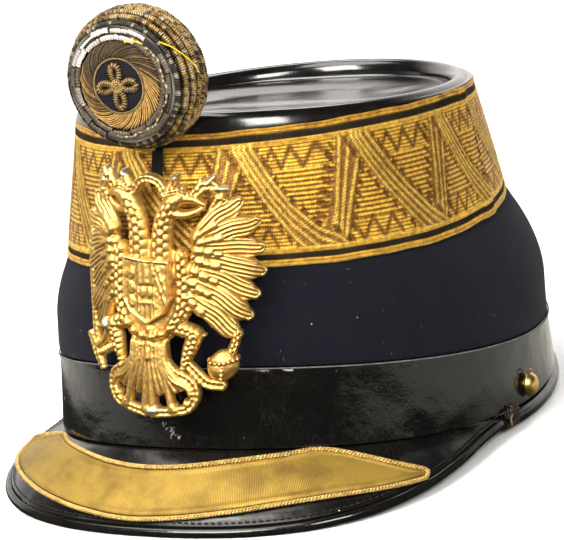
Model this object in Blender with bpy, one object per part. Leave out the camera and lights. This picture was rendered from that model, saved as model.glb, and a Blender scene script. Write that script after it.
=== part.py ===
"""An officer's shako: cloth body, leather band and peak, gold lace, pierced eagle badge and wound cockade.

Sizes are in millimetres and MM turns them into metres. The hat is drawn in its own frame: +X is the
wearer's left, -Y the front, +Z up, and the origin is the middle of the hem. A turn is an angle around
the body, 0 at the front and growing towards the wearer's left. The hat then leans back by REST_LEAN,
the way it settles on its peak and on the rolled edge at its sides.
"""

import math
from typing import NamedTuple

import bmesh
import bpy
import numpy as np
from mathutils import Matrix

MM = 0.001
UP = (0.0, 0.0, 1.0)

# ---------------------------------------------------------------- driving sizes

GAP = 0.3  # clearance between pieces that touch
REST_LEAN = math.radians(3.3)  # the front is this much higher than in the hat's own frame
AROUND = 40  # facets around the body


class Level(NamedTuple):
    """The outside of the hat at one height, an oval that may rise, fall and sag."""

    half_width: float
    half_length: float
    shift: float  # of the oval's middle, towards the back
    front_z: float
    back_z: float
    sag: float  # how much higher the sides lie than the front and back
    back_lift: float  # how much higher the back lies than that curve


LEVELS = (
    Level(87.7, 103.9, 0.0, 0.0, 0.0, -10.7, 0.0),  # 0 hem
    Level(86.6, 101.5, 0.8, 27.9, 10.8, -6.3, 7.5),  # 1 top of the leather band
    Level(86.0, 102.4, 2.0, 38.6, 28.7, -7.9, 0.0),  # 2 fullest part of the cloth
    Level(75.9, 96.2, -2.5, 61.7, 65.7, -8.6, -9.0),  # 3 bottom of the lace
    Level(68.9, 83.0, -2.8, 105.6, 99.0, 0.7, 0.0),  # 4 top of the lace
    Level(66.7, 80.2, -3.5, 112.5, 102.2, -2.2, 0.0),  # 5 rim
    Level(57.7, 71.2, -3.5, 105.6, 95.6, 0.0, 0.0),  # 6 sunk plate, which is flat
)
HEM, BAND_TOP, SWELL, LACE_BOTTOM, LACE_TOP, RIM, PLATE = range(7)
EGG = 0.045  # the back of the oval is this much wider than its middle, and the front narrower

SHELL_WALL = 2.0
BAND_WALL = 1.5
LACE_WALL = 1.2
CLOTH_UNDER_BAND = -(BAND_WALL + GAP)
CLOTH_UNDER_LACE = -(LACE_WALL + 2 * GAP)


class WallRow(NamedTuple):
    """One ring of a wall: its level, its distance outside that level and its height over it."""

    level: float
    outside: float
    above: float


SHELL_ROWS = (
    WallRow(HEM, CLOTH_UNDER_BAND, 0.2),
    WallRow(BAND_TOP, CLOTH_UNDER_BAND, 0.2),
    WallRow(BAND_TOP, -0.3, 0.8),
    WallRow(2.0, 0.0, 0.0),
    WallRow(2.4, 0.0, 0.0),
    WallRow(2.7, 0.0, 0.0),
    WallRow(2.97, -0.5, 0.0),
    WallRow(LACE_BOTTOM, CLOTH_UNDER_LACE, 0.0),
    WallRow(LACE_TOP, CLOTH_UNDER_LACE, 0.0),
    WallRow(LACE_TOP, CLOTH_UNDER_LACE - SHELL_WALL, 0.0),
    WallRow(LACE_BOTTOM, CLOTH_UNDER_LACE - SHELL_WALL, 0.0),
    WallRow(2.5, -SHELL_WALL, 0.0),
    WallRow(BAND_TOP, -SHELL_WALL - 1.0, 2.0),
    WallRow(HEM, CLOTH_UNDER_BAND - SHELL_WALL, 0.2),
)
BAND_ROWS = (
    WallRow(HEM, 0.0, GAP),
    WallRow(BAND_TOP, 0.0, 0.0),
    WallRow(BAND_TOP, -BAND_WALL, 0.0),
    WallRow(HEM, -BAND_WALL, GAP),
)
LACE_ROWS = (
    WallRow(LACE_BOTTOM, 0.0, GAP),
    WallRow(LACE_TOP, 0.0, 0.0),
    WallRow(LACE_TOP, -LACE_WALL, 0.0),
    WallRow(LACE_BOTTOM, -LACE_WALL, GAP),
)
LACE_LAP = (97.0, 104.0)  # turns between which the lace's ends overlap, in degrees
LACE_LAP_RISE = 0.7

# The crown's top: from the skirt over the lace, over the rolled rim and in to the plate
TOP_ROWS = (
    WallRow(LACE_TOP, -0.2, GAP),
    WallRow(RIM, 0.2, -1.2),
    WallRow(RIM, -0.6, -0.5),
    WallRow(RIM, -2.2, 0.0),
    WallRow(RIM, -4.3, -0.9),
    WallRow(RIM, -5.6, -5.2),
    WallRow(PLATE, 0.0, 0.0),
)
TOP_PLATE_WALL = 1.5
TOP_UNDER_ROWS = (
    WallRow(PLATE, -GAP, -TOP_PLATE_WALL),
    WallRow(LACE_TOP, -4.1, -4.2),
    WallRow(LACE_TOP, -4.1, GAP),
)


class PeakRow(NamedTuple):
    """The peak's edge at one turn: how far out of the hem it reaches and how far it drops."""

    turn: float
    reach: float
    drop: float


PEAK_ROWS = (
    PeakRow(0, 21.8, 24.1),
    PeakRow(10, 22.8, 23.7),
    PeakRow(20, 25.2, 22.4),
    PeakRow(30, 27.3, 20.0),
    PeakRow(40, 26.4, 16.6),
    PeakRow(50, 21.6, 12.6),
    PeakRow(60, 14.2, 8.6),
    PeakRow(70, 6.8, 5.1),
    PeakRow(80, 2.2, 2.9),
)
PEAK_END = 77.5  # turn of the ends of its binding
PEAK_LEATHER_END = 75.0  # turn where the leather itself runs out
PEAK_STEPS = 28
PEAK_WALL = 2.0
PEAK_CAMBER = 2.2
PEAK_ROOT = 4.6  # how far the peak runs in under the body
PEAK_HEEL = 0.4  # extra thickness where it turns out of the body
PEAK_PARTS = (0.0, 0.33, 0.66, 1.0)
BINDING_RADIUS = 1.7
EDGE_ROLL_RADIUS = 3.1
EDGE_ROLL_START = 78.5
EDGE_ROLL_INSIDE = 1.5  # its middle lies this far inside the hem
EDGE_ROLL_STEPS = 26  # so that its lowest facets, which the hat stands on, lie level
EDGE_ROLL_SIDES = 8
CORD_SIDES = 5


class LaceRow(NamedTuple):
    """The crescent on the peak at one turn: its edges as parts of the way from hem to edge."""

    turn: float
    inner: float
    outer: float


PEAK_LACE_ROWS = (
    LaceRow(0, 0.32, 0.82),
    LaceRow(10, 0.29, 0.79),
    LaceRow(20, 0.22, 0.74),
    LaceRow(30, 0.16, 0.70),
    LaceRow(40, 0.12, 0.71),
    LaceRow(46, 0.32, 0.75),
    LaceRow(52, 0.60, 0.80),
    LaceRow(55.5, 0.77, 0.83),
)
PEAK_LACE_CENTRE = -4.0  # the crescent is sewn on a little to the wearer's right
PEAK_LACE_WALL = 0.9
PEAK_TRIM_LIFT = 0.55  # of the crescent and its cord over the peak, clear of its facets
PEAK_LACE_STEPS = 24
PEAK_CORD_RADIUS = 0.8
PEAK_CORD_TURN_PAST = 1.0  # how far the cord passes the crescent's tips, in degrees

# ---------------------------------------------------------------- cockade

COCKADE_FACE = (0.0, -110.4, 127.3)
COCKADE_TILT = math.radians(3.0)  # its axis rises to the back, so that it faces level as the hat stands


class TurnRow(NamedTuple):
    """One ring of a turned piece: its distance along the axis, behind the face or off the seat."""

    along: float
    radius: float


COCKADE_CORE = (
    TurnRow(3.4, 14.0),
    TurnRow(3.6, 18.2),
    TurnRow(6.5, 19.9),
    TurnRow(10.0, 21.2),
    TurnRow(15.0, 21.8),
    TurnRow(20.0, 20.6),
    TurnRow(23.4, 17.0),
    TurnRow(24.4, 8.0),
)
COCKADE_WREATH = (
    TurnRow(3.1, 15.4),
    TurnRow(1.9, 15.2),
    TurnRow(0.8, 13.4),
    TurnRow(0.5, 10.6),
    TurnRow(1.3, 9.6),
)
COCKADE_DISC = (
    TurnRow(2.9, 9.2),
    TurnRow(1.0, 9.2),
    TurnRow(0.4, 6.0),
)
COCKADE_SPANGLES = (
    TurnRow(3.1, 15.8),
    TurnRow(1.4, 15.9),
    TurnRow(1.8, 17.6),
    TurnRow(3.1, 18.9),
)
COCKADE_CORDS = (
    TurnRow(4.2, 20.3),
    TurnRow(7.0, 21.8),
    TurnRow(9.8, 22.9),
    TurnRow(12.7, 23.4),
    TurnRow(15.6, 23.4),
    TurnRow(18.5, 22.8),
)
COCKADE_CORD_RADIUS = 1.3
COCKADE_FACETS = 20
DISC_FACETS = 16

STEM_SIZE = (2.4, 1.1)
STEM_SPAN = (91.0, 105.6, 109.6)  # the last length stands up behind the cockade
TAB_SIZE = (3.6, 1.0)
TAB_SPAN = (89.5, 101.0)

# ---------------------------------------------------------------- buttons

BUTTON_TURN = 91.0
BUTTON_HEIGHT = 6.2  # of its middle over the hem
BUTTON_SEAT = 0.4  # its foot is clear of the band by this much
BUTTON_FACETS = 14
BUTTON_ROWS = (
    TurnRow(0.0, 2.6),
    TurnRow(0.9, 4.0),
    TurnRow(1.5, 4.4),
    TurnRow(3.0, 3.6),
    TurnRow(4.0, 1.8),
)

# ---------------------------------------------------------------- eagle

EAGLE_BEND = 60.0  # radius that the badge is bent to, to lie around the front
EAGLE_FOOT = (-1.0, -109.8, 12.0)  # back of the badge under its middle, at the tail's tip
EAGLE_LEAN = math.radians(8.5)
EAGLE_TWIST = math.radians(-3.0)
EAGLE_MIDDLE = (26.0, 0.045)  # where the badge's middle line crosses zero, and its slant
EAGLE_PRESSED = ((10.0, 1.0), (8.0, 0.75), (40.0, 0.5))  # the wearer's right: widths out, and the part kept
EAGLE_LIFTED = (18.0, 0.2)  # that side sits higher, up to this far out
EAGLE_LUG_RADIUS = 1.3
EAGLE_LUG_FACETS = 8
BAR_FLOOR_STEP = 0.004  # each bar's floor is this much over the last one's, so that no two are level
BAR_RIDGE = 0.55  # width of a bar's top, as part of its foot
BAR_TIP = 0.8  # how far its rounded end goes past its tip, in radii
BAR_TIP_NARROW = 0.5


class Bar(NamedTuple):
    """One cast bar of the badge, from root to tip, drawn on the flat: across, up, radius and height."""

    root: tuple
    tip: tuple
    radii: tuple
    heights: tuple
    sides: str  # "both", "left" of the wearer, "right", or "middle"
    rounded: bool = False  # whether its tip is free, and drawn in


EAGLE_BARS = (
    # wing: the arm, then the long feathers from the top one down
    Bar((8.0, 49.0), (17.4, 50.4), (3.4, 2.8), (2.6, 2.8), "both"),
    Bar((17.0, 50.2), (20.4, 56.2), (2.6, 2.1), (2.8, 3.0), "both"),
    Bar((20.4, 56.0), (18.8, 62.8), (2.1, 2.0), (3.0, 3.3), "both", True),
    Bar((18.4, 62.6), (31.5, 71.9), (2.4, 3.6), (2.7, 2.5), "both", True),
    Bar((19.0, 60.4), (36.8, 65.4), (2.4, 3.6), (2.7, 2.7), "both", True),
    Bar((18.6, 58.0), (38.0, 57.0), (2.4, 3.6), (2.7, 2.5), "both", True),
    Bar((18.0, 55.0), (38.2, 49.4), (2.4, 3.6), (2.7, 2.7), "both", True),
    Bar((17.0, 51.4), (35.9, 42.2), (2.4, 3.6), (2.7, 2.5), "both", True),
    Bar((15.6, 48.0), (33.5, 35.5), (2.4, 3.6), (2.7, 2.7), "both", True),
    Bar((13.6, 43.6), (29.8, 29.7), (2.4, 3.6), (2.7, 2.5), "both", True),
    # body, from the shoulders to the root of the tail
    Bar((0.5, 49.0), (0.5, 38.0), (13.0, 12.4), (2.2, 2.2), "middle"),
    Bar((0.6, 36.0), (0.0, 21.0), (7.6, 5.2), (2.5, 2.4), "middle"),
    # the chain around the shield
    Bar((13.0, 56.6), (13.2, 42.0), (2.5, 2.7), (3.6, 3.6), "both"),
    Bar((13.1, 42.6), (9.2, 33.0), (2.6, 2.2), (3.7, 3.8), "both"),
    Bar((9.6, 33.4), (4.0, 29.8), (2.0, 2.1), (4.0, 4.1), "both"),
    Bar((4.2, 29.8), (0.2, 29.2), (2.1, 2.1), (4.1, 4.1), "both"),
    # neck, head, open beak and small crown
    Bar((5.6, 55.0), (6.0, 64.4), (4.1, 3.8), (3.3, 3.6), "both"),
    Bar((6.0, 64.0), (10.4, 74.0), (3.7, 3.2), (3.6, 4.0), "both"),
    Bar((9.6, 74.0), (15.8, 75.5), (3.0, 2.1), (4.1, 3.8), "both"),
    Bar((15.6, 75.6), (20.4, 73.5), (2.1, 1.2), (3.8, 2.9), "both", True),
    Bar((10.6, 70.8), (20.0, 71.6), (2.0, 1.1), (3.3, 2.5), "both", True),
    Bar((8.8, 78.4), (14.6, 78.8), (1.3, 1.3), (3.9, 3.9), "both"),
    Bar((9.8, 79.0), (12.0, 82.2), (1.8, 1.5), (3.6, 3.6), "both", True),
    # ribbons: an arch between the heads and a curl out to each wing
    Bar((8.2, 77.2), (5.4, 81.6), (1.5, 1.6), (3.2, 3.3), "both"),
    Bar((5.8, 81.3), (2.4, 82.7), (1.6, 1.6), (3.3, 3.4), "both"),
    Bar((17.4, 75.6), (22.6, 79.4), (1.7, 2.1), (2.9, 3.2), "both"),
    Bar((22.2, 79.2), (26.6, 76.2), (2.1, 2.1), (3.2, 3.1), "both"),
    Bar((26.5, 76.6), (23.2, 69.4), (2.0, 1.6), (3.1, 2.6), "both", True),
    Bar((22.6, 80.0), (24.6, 81.6), (1.4, 1.1), (3.2, 2.8), "both", True),
    Bar((25.8, 78.2), (28.6, 77.8), (1.4, 1.1), (3.2, 2.8), "both", True),
    # thigh, shank and claw
    Bar((8.0, 32.2), (16.6, 30.2), (2.2, 2.8), (2.9, 3.7), "both"),
    Bar((16.6, 30.6), (13.2, 20.8), (2.8, 2.0), (3.7, 3.1), "both"),
    Bar((12.9, 21.0), (11.8, 17.0), (1.8, 1.5), (3.0, 2.8), "both", True),
    # tail: fluted feathers fanned from the root, the curled border and its foot
    Bar((0.0, 26.0), (-1.0, 3.8), (2.2, 2.9), (3.4, 3.0), "middle"),
    Bar((1.9, 26.0), (3.2, 11.2), (1.3, 1.5), (3.4, 3.1), "both"),
    Bar((3.0, 26.0), (5.4, 11.6), (1.2, 1.4), (3.4, 3.1), "both"),
    Bar((3.9, 25.6), (7.6, 4.2), (1.2, 1.5), (3.3, 3.0), "both"),
    Bar((4.6, 25.0), (9.0, 12.2), (1.2, 1.5), (3.3, 3.1), "both"),
    Bar((5.2, 23.0), (12.2, 13.6), (1.6, 1.9), (3.3, 3.1), "both"),
    Bar((6.0, 26.4), (6.9, 19.8), (1.2, 1.4), (2.9, 3.0), "both"),
    Bar((6.8, 20.2), (13.4, 14.6), (1.4, 2.0), (3.0, 3.4), "both"),
    Bar((13.0, 15.0), (15.9, 9.4), (2.0, 2.0), (3.4, 3.4), "both"),
    Bar((15.9, 9.8), (13.6, 4.6), (2.0, 1.7), (3.4, 3.0), "both"),
    Bar((14.0, 4.8), (5.8, 3.2), (1.6, 1.7), (3.0, 3.0), "both"),
    Bar((6.2, 3.2), (-0.8, 3.1), (1.7, 1.9), (3.0, 3.1), "both"),
    # sword on the wearer's right: the claw, the hilt and its guard, and the blade up along the wing
    Bar((-13.6, 25.8), (-23.4, 21.6), (1.7, 1.6), (3.1, 3.0), "right"),
    Bar((-27.4, 27.2), (-24.4, 23.4), (1.6, 1.9), (2.9, 3.2), "right"),
    Bar((-24.6, 23.8), (-22.6, 18.2), (1.8, 1.2), (3.2, 2.6), "right", True),
    Bar((-16.8, 32.0), (-20.2, 26.4), (2.0, 1.6), (3.6, 3.0), "right"),
    Bar((-19.8, 27.0), (-23.6, 24.2), (1.6, 1.5), (3.0, 2.9), "right"),
    Bar((-24.6, 25.0), (-25.2, 48.2), (1.5, 1.4), (2.7, 2.7), "right"),
    Bar((-25.2, 47.8), (-24.9, 69.0), (1.4, 1.1), (2.7, 2.4), "right", True),
    # orb on the wearer's left: the claw's strap, the ball and its cross up to the lowest feather
    Bar((12.8, 21.6), (15.8, 17.2), (1.4, 1.9), (2.8, 3.0), "left"),
    Bar((15.4, 17.8), (20.4, 12.8), (1.9, 2.0), (3.0, 3.0), "left"),
    Bar((19.8, 13.1), (24.4, 11.9), (2.0, 1.9), (3.0, 3.0), "left", True),
    Bar((21.8, 15.9), (26.2, 18.8), (3.4, 4.8), (4.2, 4.4), "left", True),
    Bar((28.4, 22.4), (30.4, 29.0), (1.9, 1.6), (3.1, 2.7), "left", True),
)
SHIELD_OUTLINE = (
    (-7.8, 57.4),
    (1.2, 55.9),
    (9.8, 55.4),
    (9.7, 41.5),
    (7.2, 37.0),
    (0.9, 33.4),
    (-5.6, 37.6),
    (-8.4, 42.2),
)
SHIELD_TOP = 4.6
SHIELD_FLOOR = 0.6
SHIELD_BEVEL = 1.0
SHIELD_TAPER = 0.9  # size of its top face as part of its outline
EAGLE_LUGS = ((0.0, 17.0, -6.2), (0.0, 44.0, -3.4))  # across, up, depth behind the badge
EAGLE_LUG_TOP = 1.0

# ---------------------------------------------------------------- finishes


class Finish(NamedTuple):
    """A plain finish: colour, roughness and metallic value."""

    colour: tuple
    roughness: float
    metallic: float


FINISHES = {
    "navy_cloth": Finish((0.008, 0.010, 0.022), 0.95, 0.0),
    "black_leather": Finish((0.012, 0.012, 0.013), 0.28, 0.0),
    "patent_leather": Finish((0.010, 0.010, 0.012), 0.12, 0.0),
    "gold_lace": Finish((0.62, 0.42, 0.12), 0.45, 0.7),
    "gilt_brass": Finish((0.85, 0.58, 0.18), 0.3, 1.0),
    "dull_bullion": Finish((0.32, 0.24, 0.12), 0.5, 0.8),
    "pearl": Finish((0.80, 0.76, 0.70), 0.4, 0.1),
    "black_velvet": Finish((0.01, 0.01, 0.012), 1.0, 0.0),
}

# ---------------------------------------------------------------- shape of the body


def level_at(step):
    """The oval between two levels; the cloth stays full over the swell and then draws in."""
    below = min(int(step), len(LEVELS) - 2)
    part = step - below
    ease = 1 - math.cos(part * math.pi / 2) if below == SWELL else part
    mixes = (ease, ease, ease, part, part, part, part)
    return Level(*(a + (b - a) * m for a, b, m in zip(LEVELS[below], LEVELS[below + 1], mixes)))


def hat_point(step, turn, outside=0.0, above=0.0):
    """A point of the hat's outside; turn is in radians."""
    level = level_at(step)
    back = -math.cos(turn)
    x = (level.half_width + outside) * math.sin(turn) * (1 + EGG * back)
    y = level.shift + (level.half_length + outside) * back
    z = level.front_z + (level.back_z - level.front_z) * (1 + back) / 2
    z += level.sag * (1 - back * back) + level.back_lift * max(back, 0.0) ** 3
    return np.array((x, y, z + above))


def outward(step, turn):
    """The level unit vector out of the hat at a turn."""
    tangent = hat_point(step, turn + 1e-4) - hat_point(step, turn - 1e-4)
    normal = np.array((tangent[1], -tangent[0], 0.0))
    return normal / np.linalg.norm(normal)


def smooth_column(rows, turn, column):
    """A column of a table of turns, read at any turn by a smooth curve through its rows."""
    rows = [rows[1]._replace(turn=-rows[1].turn), *rows]
    turns = [row.turn for row in rows]
    values = [getattr(row, column) for row in rows]
    slopes = np.gradient(values, turns)
    at = min(max(abs(turn), turns[1]), turns[-1])
    i = min(int(np.searchsorted(turns, at, side="right")) - 1, len(rows) - 2)
    span = turns[i + 1] - turns[i]
    t = (at - turns[i]) / span
    return (
        values[i] * (1 + 2 * t) * (1 - t) ** 2
        + slopes[i] * span * t * (1 - t) ** 2
        + values[i + 1] * t * t * (3 - 2 * t)
        - slopes[i + 1] * span * t * t * (1 - t)
    )


def peak_point(turn, part, lift=0.0):
    """A point of the peak's upper face: part 0 is at the hem and 1 at its edge; turn is in degrees."""
    reach = smooth_column(PEAK_ROWS, turn, "reach")
    drop = smooth_column(PEAK_ROWS, turn, "drop")
    camber = PEAK_CAMBER * reach / PEAK_ROWS[0].reach
    out = reach * part
    fall = drop * part - camber * 4 * part * (1 - part)
    fall_rate = drop - camber * 4 * (1 - 2 * part)
    length = math.hypot(reach, fall_rate)
    out += lift * fall_rate / length
    fall -= lift * reach / length
    angle = math.radians(turn)
    return hat_point(HEM, angle) + outward(HEM, angle) * out - np.array((0.0, 0.0, fall + GAP))


def peak_length(turn):
    """The way along the peak from hem to edge."""
    return math.hypot(smooth_column(PEAK_ROWS, turn, "reach"), smooth_column(PEAK_ROWS, turn, "drop"))


# ---------------------------------------------------------------- making solids


def add_object(name, points, faces, finish, smooth_angle=40.0):
    """A closed mesh object in metres with its normals out."""
    mesh = bpy.data.meshes.new(name)
    mesh.from_pydata([tuple(np.asarray(p) * MM) for p in points], [], faces)
    shaped = bmesh.new()
    shaped.from_mesh(mesh)
    bmesh.ops.recalc_face_normals(shaped, faces=shaped.faces)
    shaped.to_mesh(mesh)
    shaped.free()
    mesh.shade_smooth()
    mesh.set_sharp_from_angle(angle=math.radians(smooth_angle))
    mesh.materials.append(material(finish))
    solid = bpy.data.objects.new(name, mesh)
    bpy.context.collection.objects.link(solid)
    return solid


def material(finish):
    """The material of a finish, made once."""
    found = bpy.data.materials.get(finish)
    if found:
        return found
    made = bpy.data.materials.new(finish)
    made.use_nodes = True
    inputs = made.node_tree.nodes["Principled BSDF"].inputs
    inputs["Base Color"].default_value = (*FINISHES[finish].colour, 1.0)
    inputs["Roughness"].default_value = FINISHES[finish].roughness
    inputs["Metallic"].default_value = FINISHES[finish].metallic
    return made


def bridge(rings, closed_way, closed_ring=True):
    """Quads between rings of points, and fans over the end rings where the way is open."""
    count = len(rings[0])
    points = [point for ring in rings for point in ring]
    faces = []
    for i in range(len(rings) if closed_way else len(rings) - 1):
        a, b = i * count, (i + 1) % len(rings) * count
        for j in range(count if closed_ring else count - 1):
            k = (j + 1) % count
            faces.append((a + j, a + k, b + k, b + j))
    if not closed_way:
        faces.append(tuple(range(count)))
        last = (len(rings) - 1) * count
        faces.append(tuple(last + j for j in reversed(range(count))))
    return points, faces


def wall(name, rows, finish, rise=None):
    """A wall around the hat; its rows go up the outside and down the inside."""
    turns = [2 * math.pi * i / AROUND for i in range(AROUND)]
    rings = []
    for row in rows:
        extra = [rise(turn, row) if rise else 0.0 for turn in turns]
        rings.append([hat_point(row.level, t, row.outside + e, row.above) for t, e in zip(turns, extra)])
    return add_object(name, *bridge(rings, closed_way=True), finish)


def lace_lap(turn, row):
    """The extra thickness where one end of the lace lies over the other."""
    lapped = LACE_LAP[0] <= math.degrees(turn) <= LACE_LAP[1]
    return LACE_LAP_RISE if lapped and row.outside == 0.0 else 0.0


def crown_top():
    """The sunk plate and its rolled rim, closed over the middle on both faces."""
    turns = [2 * math.pi * i / AROUND for i in range(AROUND)]
    rings = [
        [hat_point(row.level, t, row.outside, row.above) for t in turns]
        for row in [*TOP_ROWS, *TOP_UNDER_ROWS]
    ]
    points, faces = bridge(rings, closed_way=True)
    inner = len(TOP_ROWS) - 1
    faces = [face for face in faces if not is_bridge(face, inner, inner + 1)]
    faces.append(tuple(inner * AROUND + j for j in range(AROUND)))
    faces.append(tuple((inner + 1) * AROUND + j for j in reversed(range(AROUND))))
    return add_object("crown_top", points, faces, "patent_leather")


def is_bridge(face, ring, other):
    """Whether a face joins these two rings around the hat."""
    return {corner // AROUND for corner in face} == {ring, other}


def tube(name, path, radius, finish, sides, closed=False):
    """A round rope along a path."""
    path = [np.asarray(p, float) for p in path]
    rings = []
    for i, point in enumerate(path):
        ahead = path[(i + 1) % len(path)] if closed or i + 1 < len(path) else point
        behind = path[i - 1] if closed or i else point
        way = (ahead - behind) / np.linalg.norm(ahead - behind)
        side = np.cross(way, UP)
        side /= np.linalg.norm(side)
        lift = np.cross(side, way)
        angles = [2 * math.pi * (k + 0.5) / sides for k in range(sides)]
        rings.append([point + radius * (math.cos(a) * side + math.sin(a) * lift) for a in angles])
    return add_object(name, *bridge(rings, closed_way=closed), finish, 70.0)


# ---------------------------------------------------------------- peak and its trim


def peak():
    """The leather peak, from its root under the body to the edge that the binding covers."""
    rings = []
    for turn in np.linspace(-PEAK_LEATHER_END, PEAK_LEATHER_END, PEAK_STEPS + 1):
        angle = math.radians(turn)
        edge = 1.0 - (2 * BINDING_RADIUS + GAP) / peak_length(turn)
        upper = [peak_point(turn, part * edge) for part in PEAK_PARTS]
        lower = [peak_point(turn, part * edge, -PEAK_WALL) for part in PEAK_PARTS]
        lower[0] = hat_point(HEM, angle, 0.0, -GAP - PEAK_WALL - PEAK_HEEL)
        root = hat_point(HEM, angle, -PEAK_ROOT, -GAP)
        root_lower = hat_point(HEM, angle, -PEAK_ROOT, -GAP - PEAK_WALL)
        rings.append([root, *upper, *reversed(lower), root_lower])
    return add_object("peak", *bridge(rings, closed_way=False), "black_leather")


def peak_binding():
    """The rolled edge around the peak."""
    path = [
        peak_point(turn, 1.0 - BINDING_RADIUS / peak_length(turn), -PEAK_WALL / 2)
        for turn in np.linspace(-PEAK_END, PEAK_END, PEAK_STEPS + 1)
    ]
    return tube("peak_binding", path, BINDING_RADIUS, "black_leather", CORD_SIDES)


def edge_roll():
    """The rolled edge under the band, from corner to corner around the back."""
    path = [
        hat_point(HEM, math.radians(turn), -EDGE_ROLL_INSIDE, -GAP - EDGE_ROLL_RADIUS)
        for turn in np.linspace(EDGE_ROLL_START, 360 - EDGE_ROLL_START, EDGE_ROLL_STEPS + 1)
    ]
    return tube("edge_roll", path, EDGE_ROLL_RADIUS, "black_leather", EDGE_ROLL_SIDES)


def lace_edge(turn, column, spread, lift):
    """A point of the crescent's inner or outer edge, moved out of the crescent by spread."""
    part = smooth_column(PEAK_LACE_ROWS, turn, column)
    part += spread / peak_length(turn) * (1 if column == "outer" else -1)
    return peak_point(turn + PEAK_LACE_CENTRE, part, lift)


def lace_tip(turn, past, lift):
    """A point just past the crescent's tip."""
    middle = (PEAK_LACE_ROWS[-1].inner + PEAK_LACE_ROWS[-1].outer) / 2
    return peak_point(turn + past + PEAK_LACE_CENTRE, middle, lift)


def peak_lace_turns():
    """The turns at which the crescent and its cord both have a section."""
    end = PEAK_LACE_ROWS[-1].turn
    return np.linspace(-end, end, PEAK_LACE_STEPS + 1)


def peak_lace():
    """The crescent of gold cloth on the peak."""
    low, high = PEAK_TRIM_LIFT, PEAK_TRIM_LIFT + PEAK_LACE_WALL
    rings = []
    for turn in peak_lace_turns():
        inner = smooth_column(PEAK_LACE_ROWS, turn, "inner")
        outer = smooth_column(PEAK_LACE_ROWS, turn, "outer")
        parts = [inner, (inner + outer) / 2, outer]
        upper = [peak_point(turn + PEAK_LACE_CENTRE, part, high) for part in parts]
        lower = [peak_point(turn + PEAK_LACE_CENTRE, part, low) for part in reversed(parts)]
        rings.append([*upper, *lower])
    return add_object("peak_lace", *bridge(rings, closed_way=False), "gold_lace")


def peak_lace_cord():
    """The twisted cord laid around the crescent."""
    spread = PEAK_CORD_RADIUS + 2 * GAP
    lift = PEAK_CORD_RADIUS + PEAK_TRIM_LIFT
    turns = peak_lace_turns()
    path = [lace_edge(turn, "outer", spread, lift) for turn in turns]
    path.append(lace_tip(turns[-1], PEAK_CORD_TURN_PAST, lift))
    path += [lace_edge(turn, "inner", spread, lift) for turn in reversed(turns)]
    path.append(lace_tip(turns[0], -PEAK_CORD_TURN_PAST, lift))
    return tube("peak_lace_cord", path, PEAK_CORD_RADIUS, "gold_lace", CORD_SIDES, closed=True)


# ---------------------------------------------------------------- cockade and buttons


def ring_of(row, facets):
    """The points of one ring of a turned piece."""
    angles = [2 * math.pi * k / facets for k in range(facets)]
    return [(row.radius * math.cos(a), row.radius * math.sin(a), row.along) for a in angles]


def turned(name, rows, finish, placing, facets, smooth_angle=40.0):
    """A solid turned about its axis, closed at both ends."""
    rings = [ring_of(row, facets) for row in rows]
    solid = add_object(name, *bridge(rings, closed_way=False), finish, smooth_angle)
    solid.matrix_local = placing
    return solid


def cockade_placing():
    """The cockade's frame: its axis runs back from the face."""
    face = Matrix.Translation([c * MM for c in COCKADE_FACE])
    return face @ Matrix.Rotation(-math.pi / 2 + COCKADE_TILT, 4, "X")


def cockade():
    """The wound cockade: core, black disc, wreath, spangles and the wound cords."""
    placing = cockade_placing()
    solids = [
        turned("cockade_core", COCKADE_CORE, "dull_bullion", placing, COCKADE_FACETS),
        turned("cockade_disc", COCKADE_DISC, "black_velvet", placing, DISC_FACETS),
        washer("cockade_wreath", COCKADE_WREATH, "dull_bullion", placing),
        washer("cockade_spangles", COCKADE_SPANGLES, "pearl", placing),
    ]
    for number, row in enumerate(COCKADE_CORDS, start=1):
        name = f"cockade_cord_{number}"
        path = ring_of(row, COCKADE_FACETS)
        cord = tube(name, path, COCKADE_CORD_RADIUS, "dull_bullion", CORD_SIDES, closed=True)
        cord.matrix_local = placing
        solids.append(cord)
    return solids


def washer(name, rows, finish, placing):
    """A turned ring with an open middle."""
    rings = [ring_of(row, COCKADE_FACETS) for row in rows]
    ring = add_object(name, *bridge(rings, closed_way=True), finish)
    ring.matrix_local = placing
    return ring


def strap(name, size, span, outside, finish):
    """A flat upright piece on the front of the lace."""
    half, thick = size[0] / 2, size[1]
    bottom, top = LEVELS[LACE_BOTTOM].front_z, LEVELS[LACE_TOP].front_z
    rings = []
    for z in span:
        back = hat_point(LACE_BOTTOM + (z - bottom) / (top - bottom), 0.0)[1] - outside
        corners = ((-half, back), (half, back), (half, back - thick), (-half, back - thick))
        rings.append([(x, y, z) for x, y in corners])
    return add_object(name, *bridge(rings, closed_way=False), finish)


def side_button(name, side):
    """A domed button on the band."""
    turn = math.radians(BUTTON_TURN) * side
    seat = hat_point(HEM, turn, BUTTON_SEAT, BUTTON_HEIGHT)
    normal = outward(HEM, turn)
    placing = Matrix.Translation([c * MM for c in seat])
    placing = placing @ Matrix.Rotation(math.atan2(normal[1], normal[0]), 4, "Z")
    placing = placing @ Matrix.Rotation(math.pi / 2, 4, "Y")
    return turned(name, BUTTON_ROWS, "gilt_brass", placing, BUTTON_FACETS)


# ---------------------------------------------------------------- eagle badge


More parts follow.
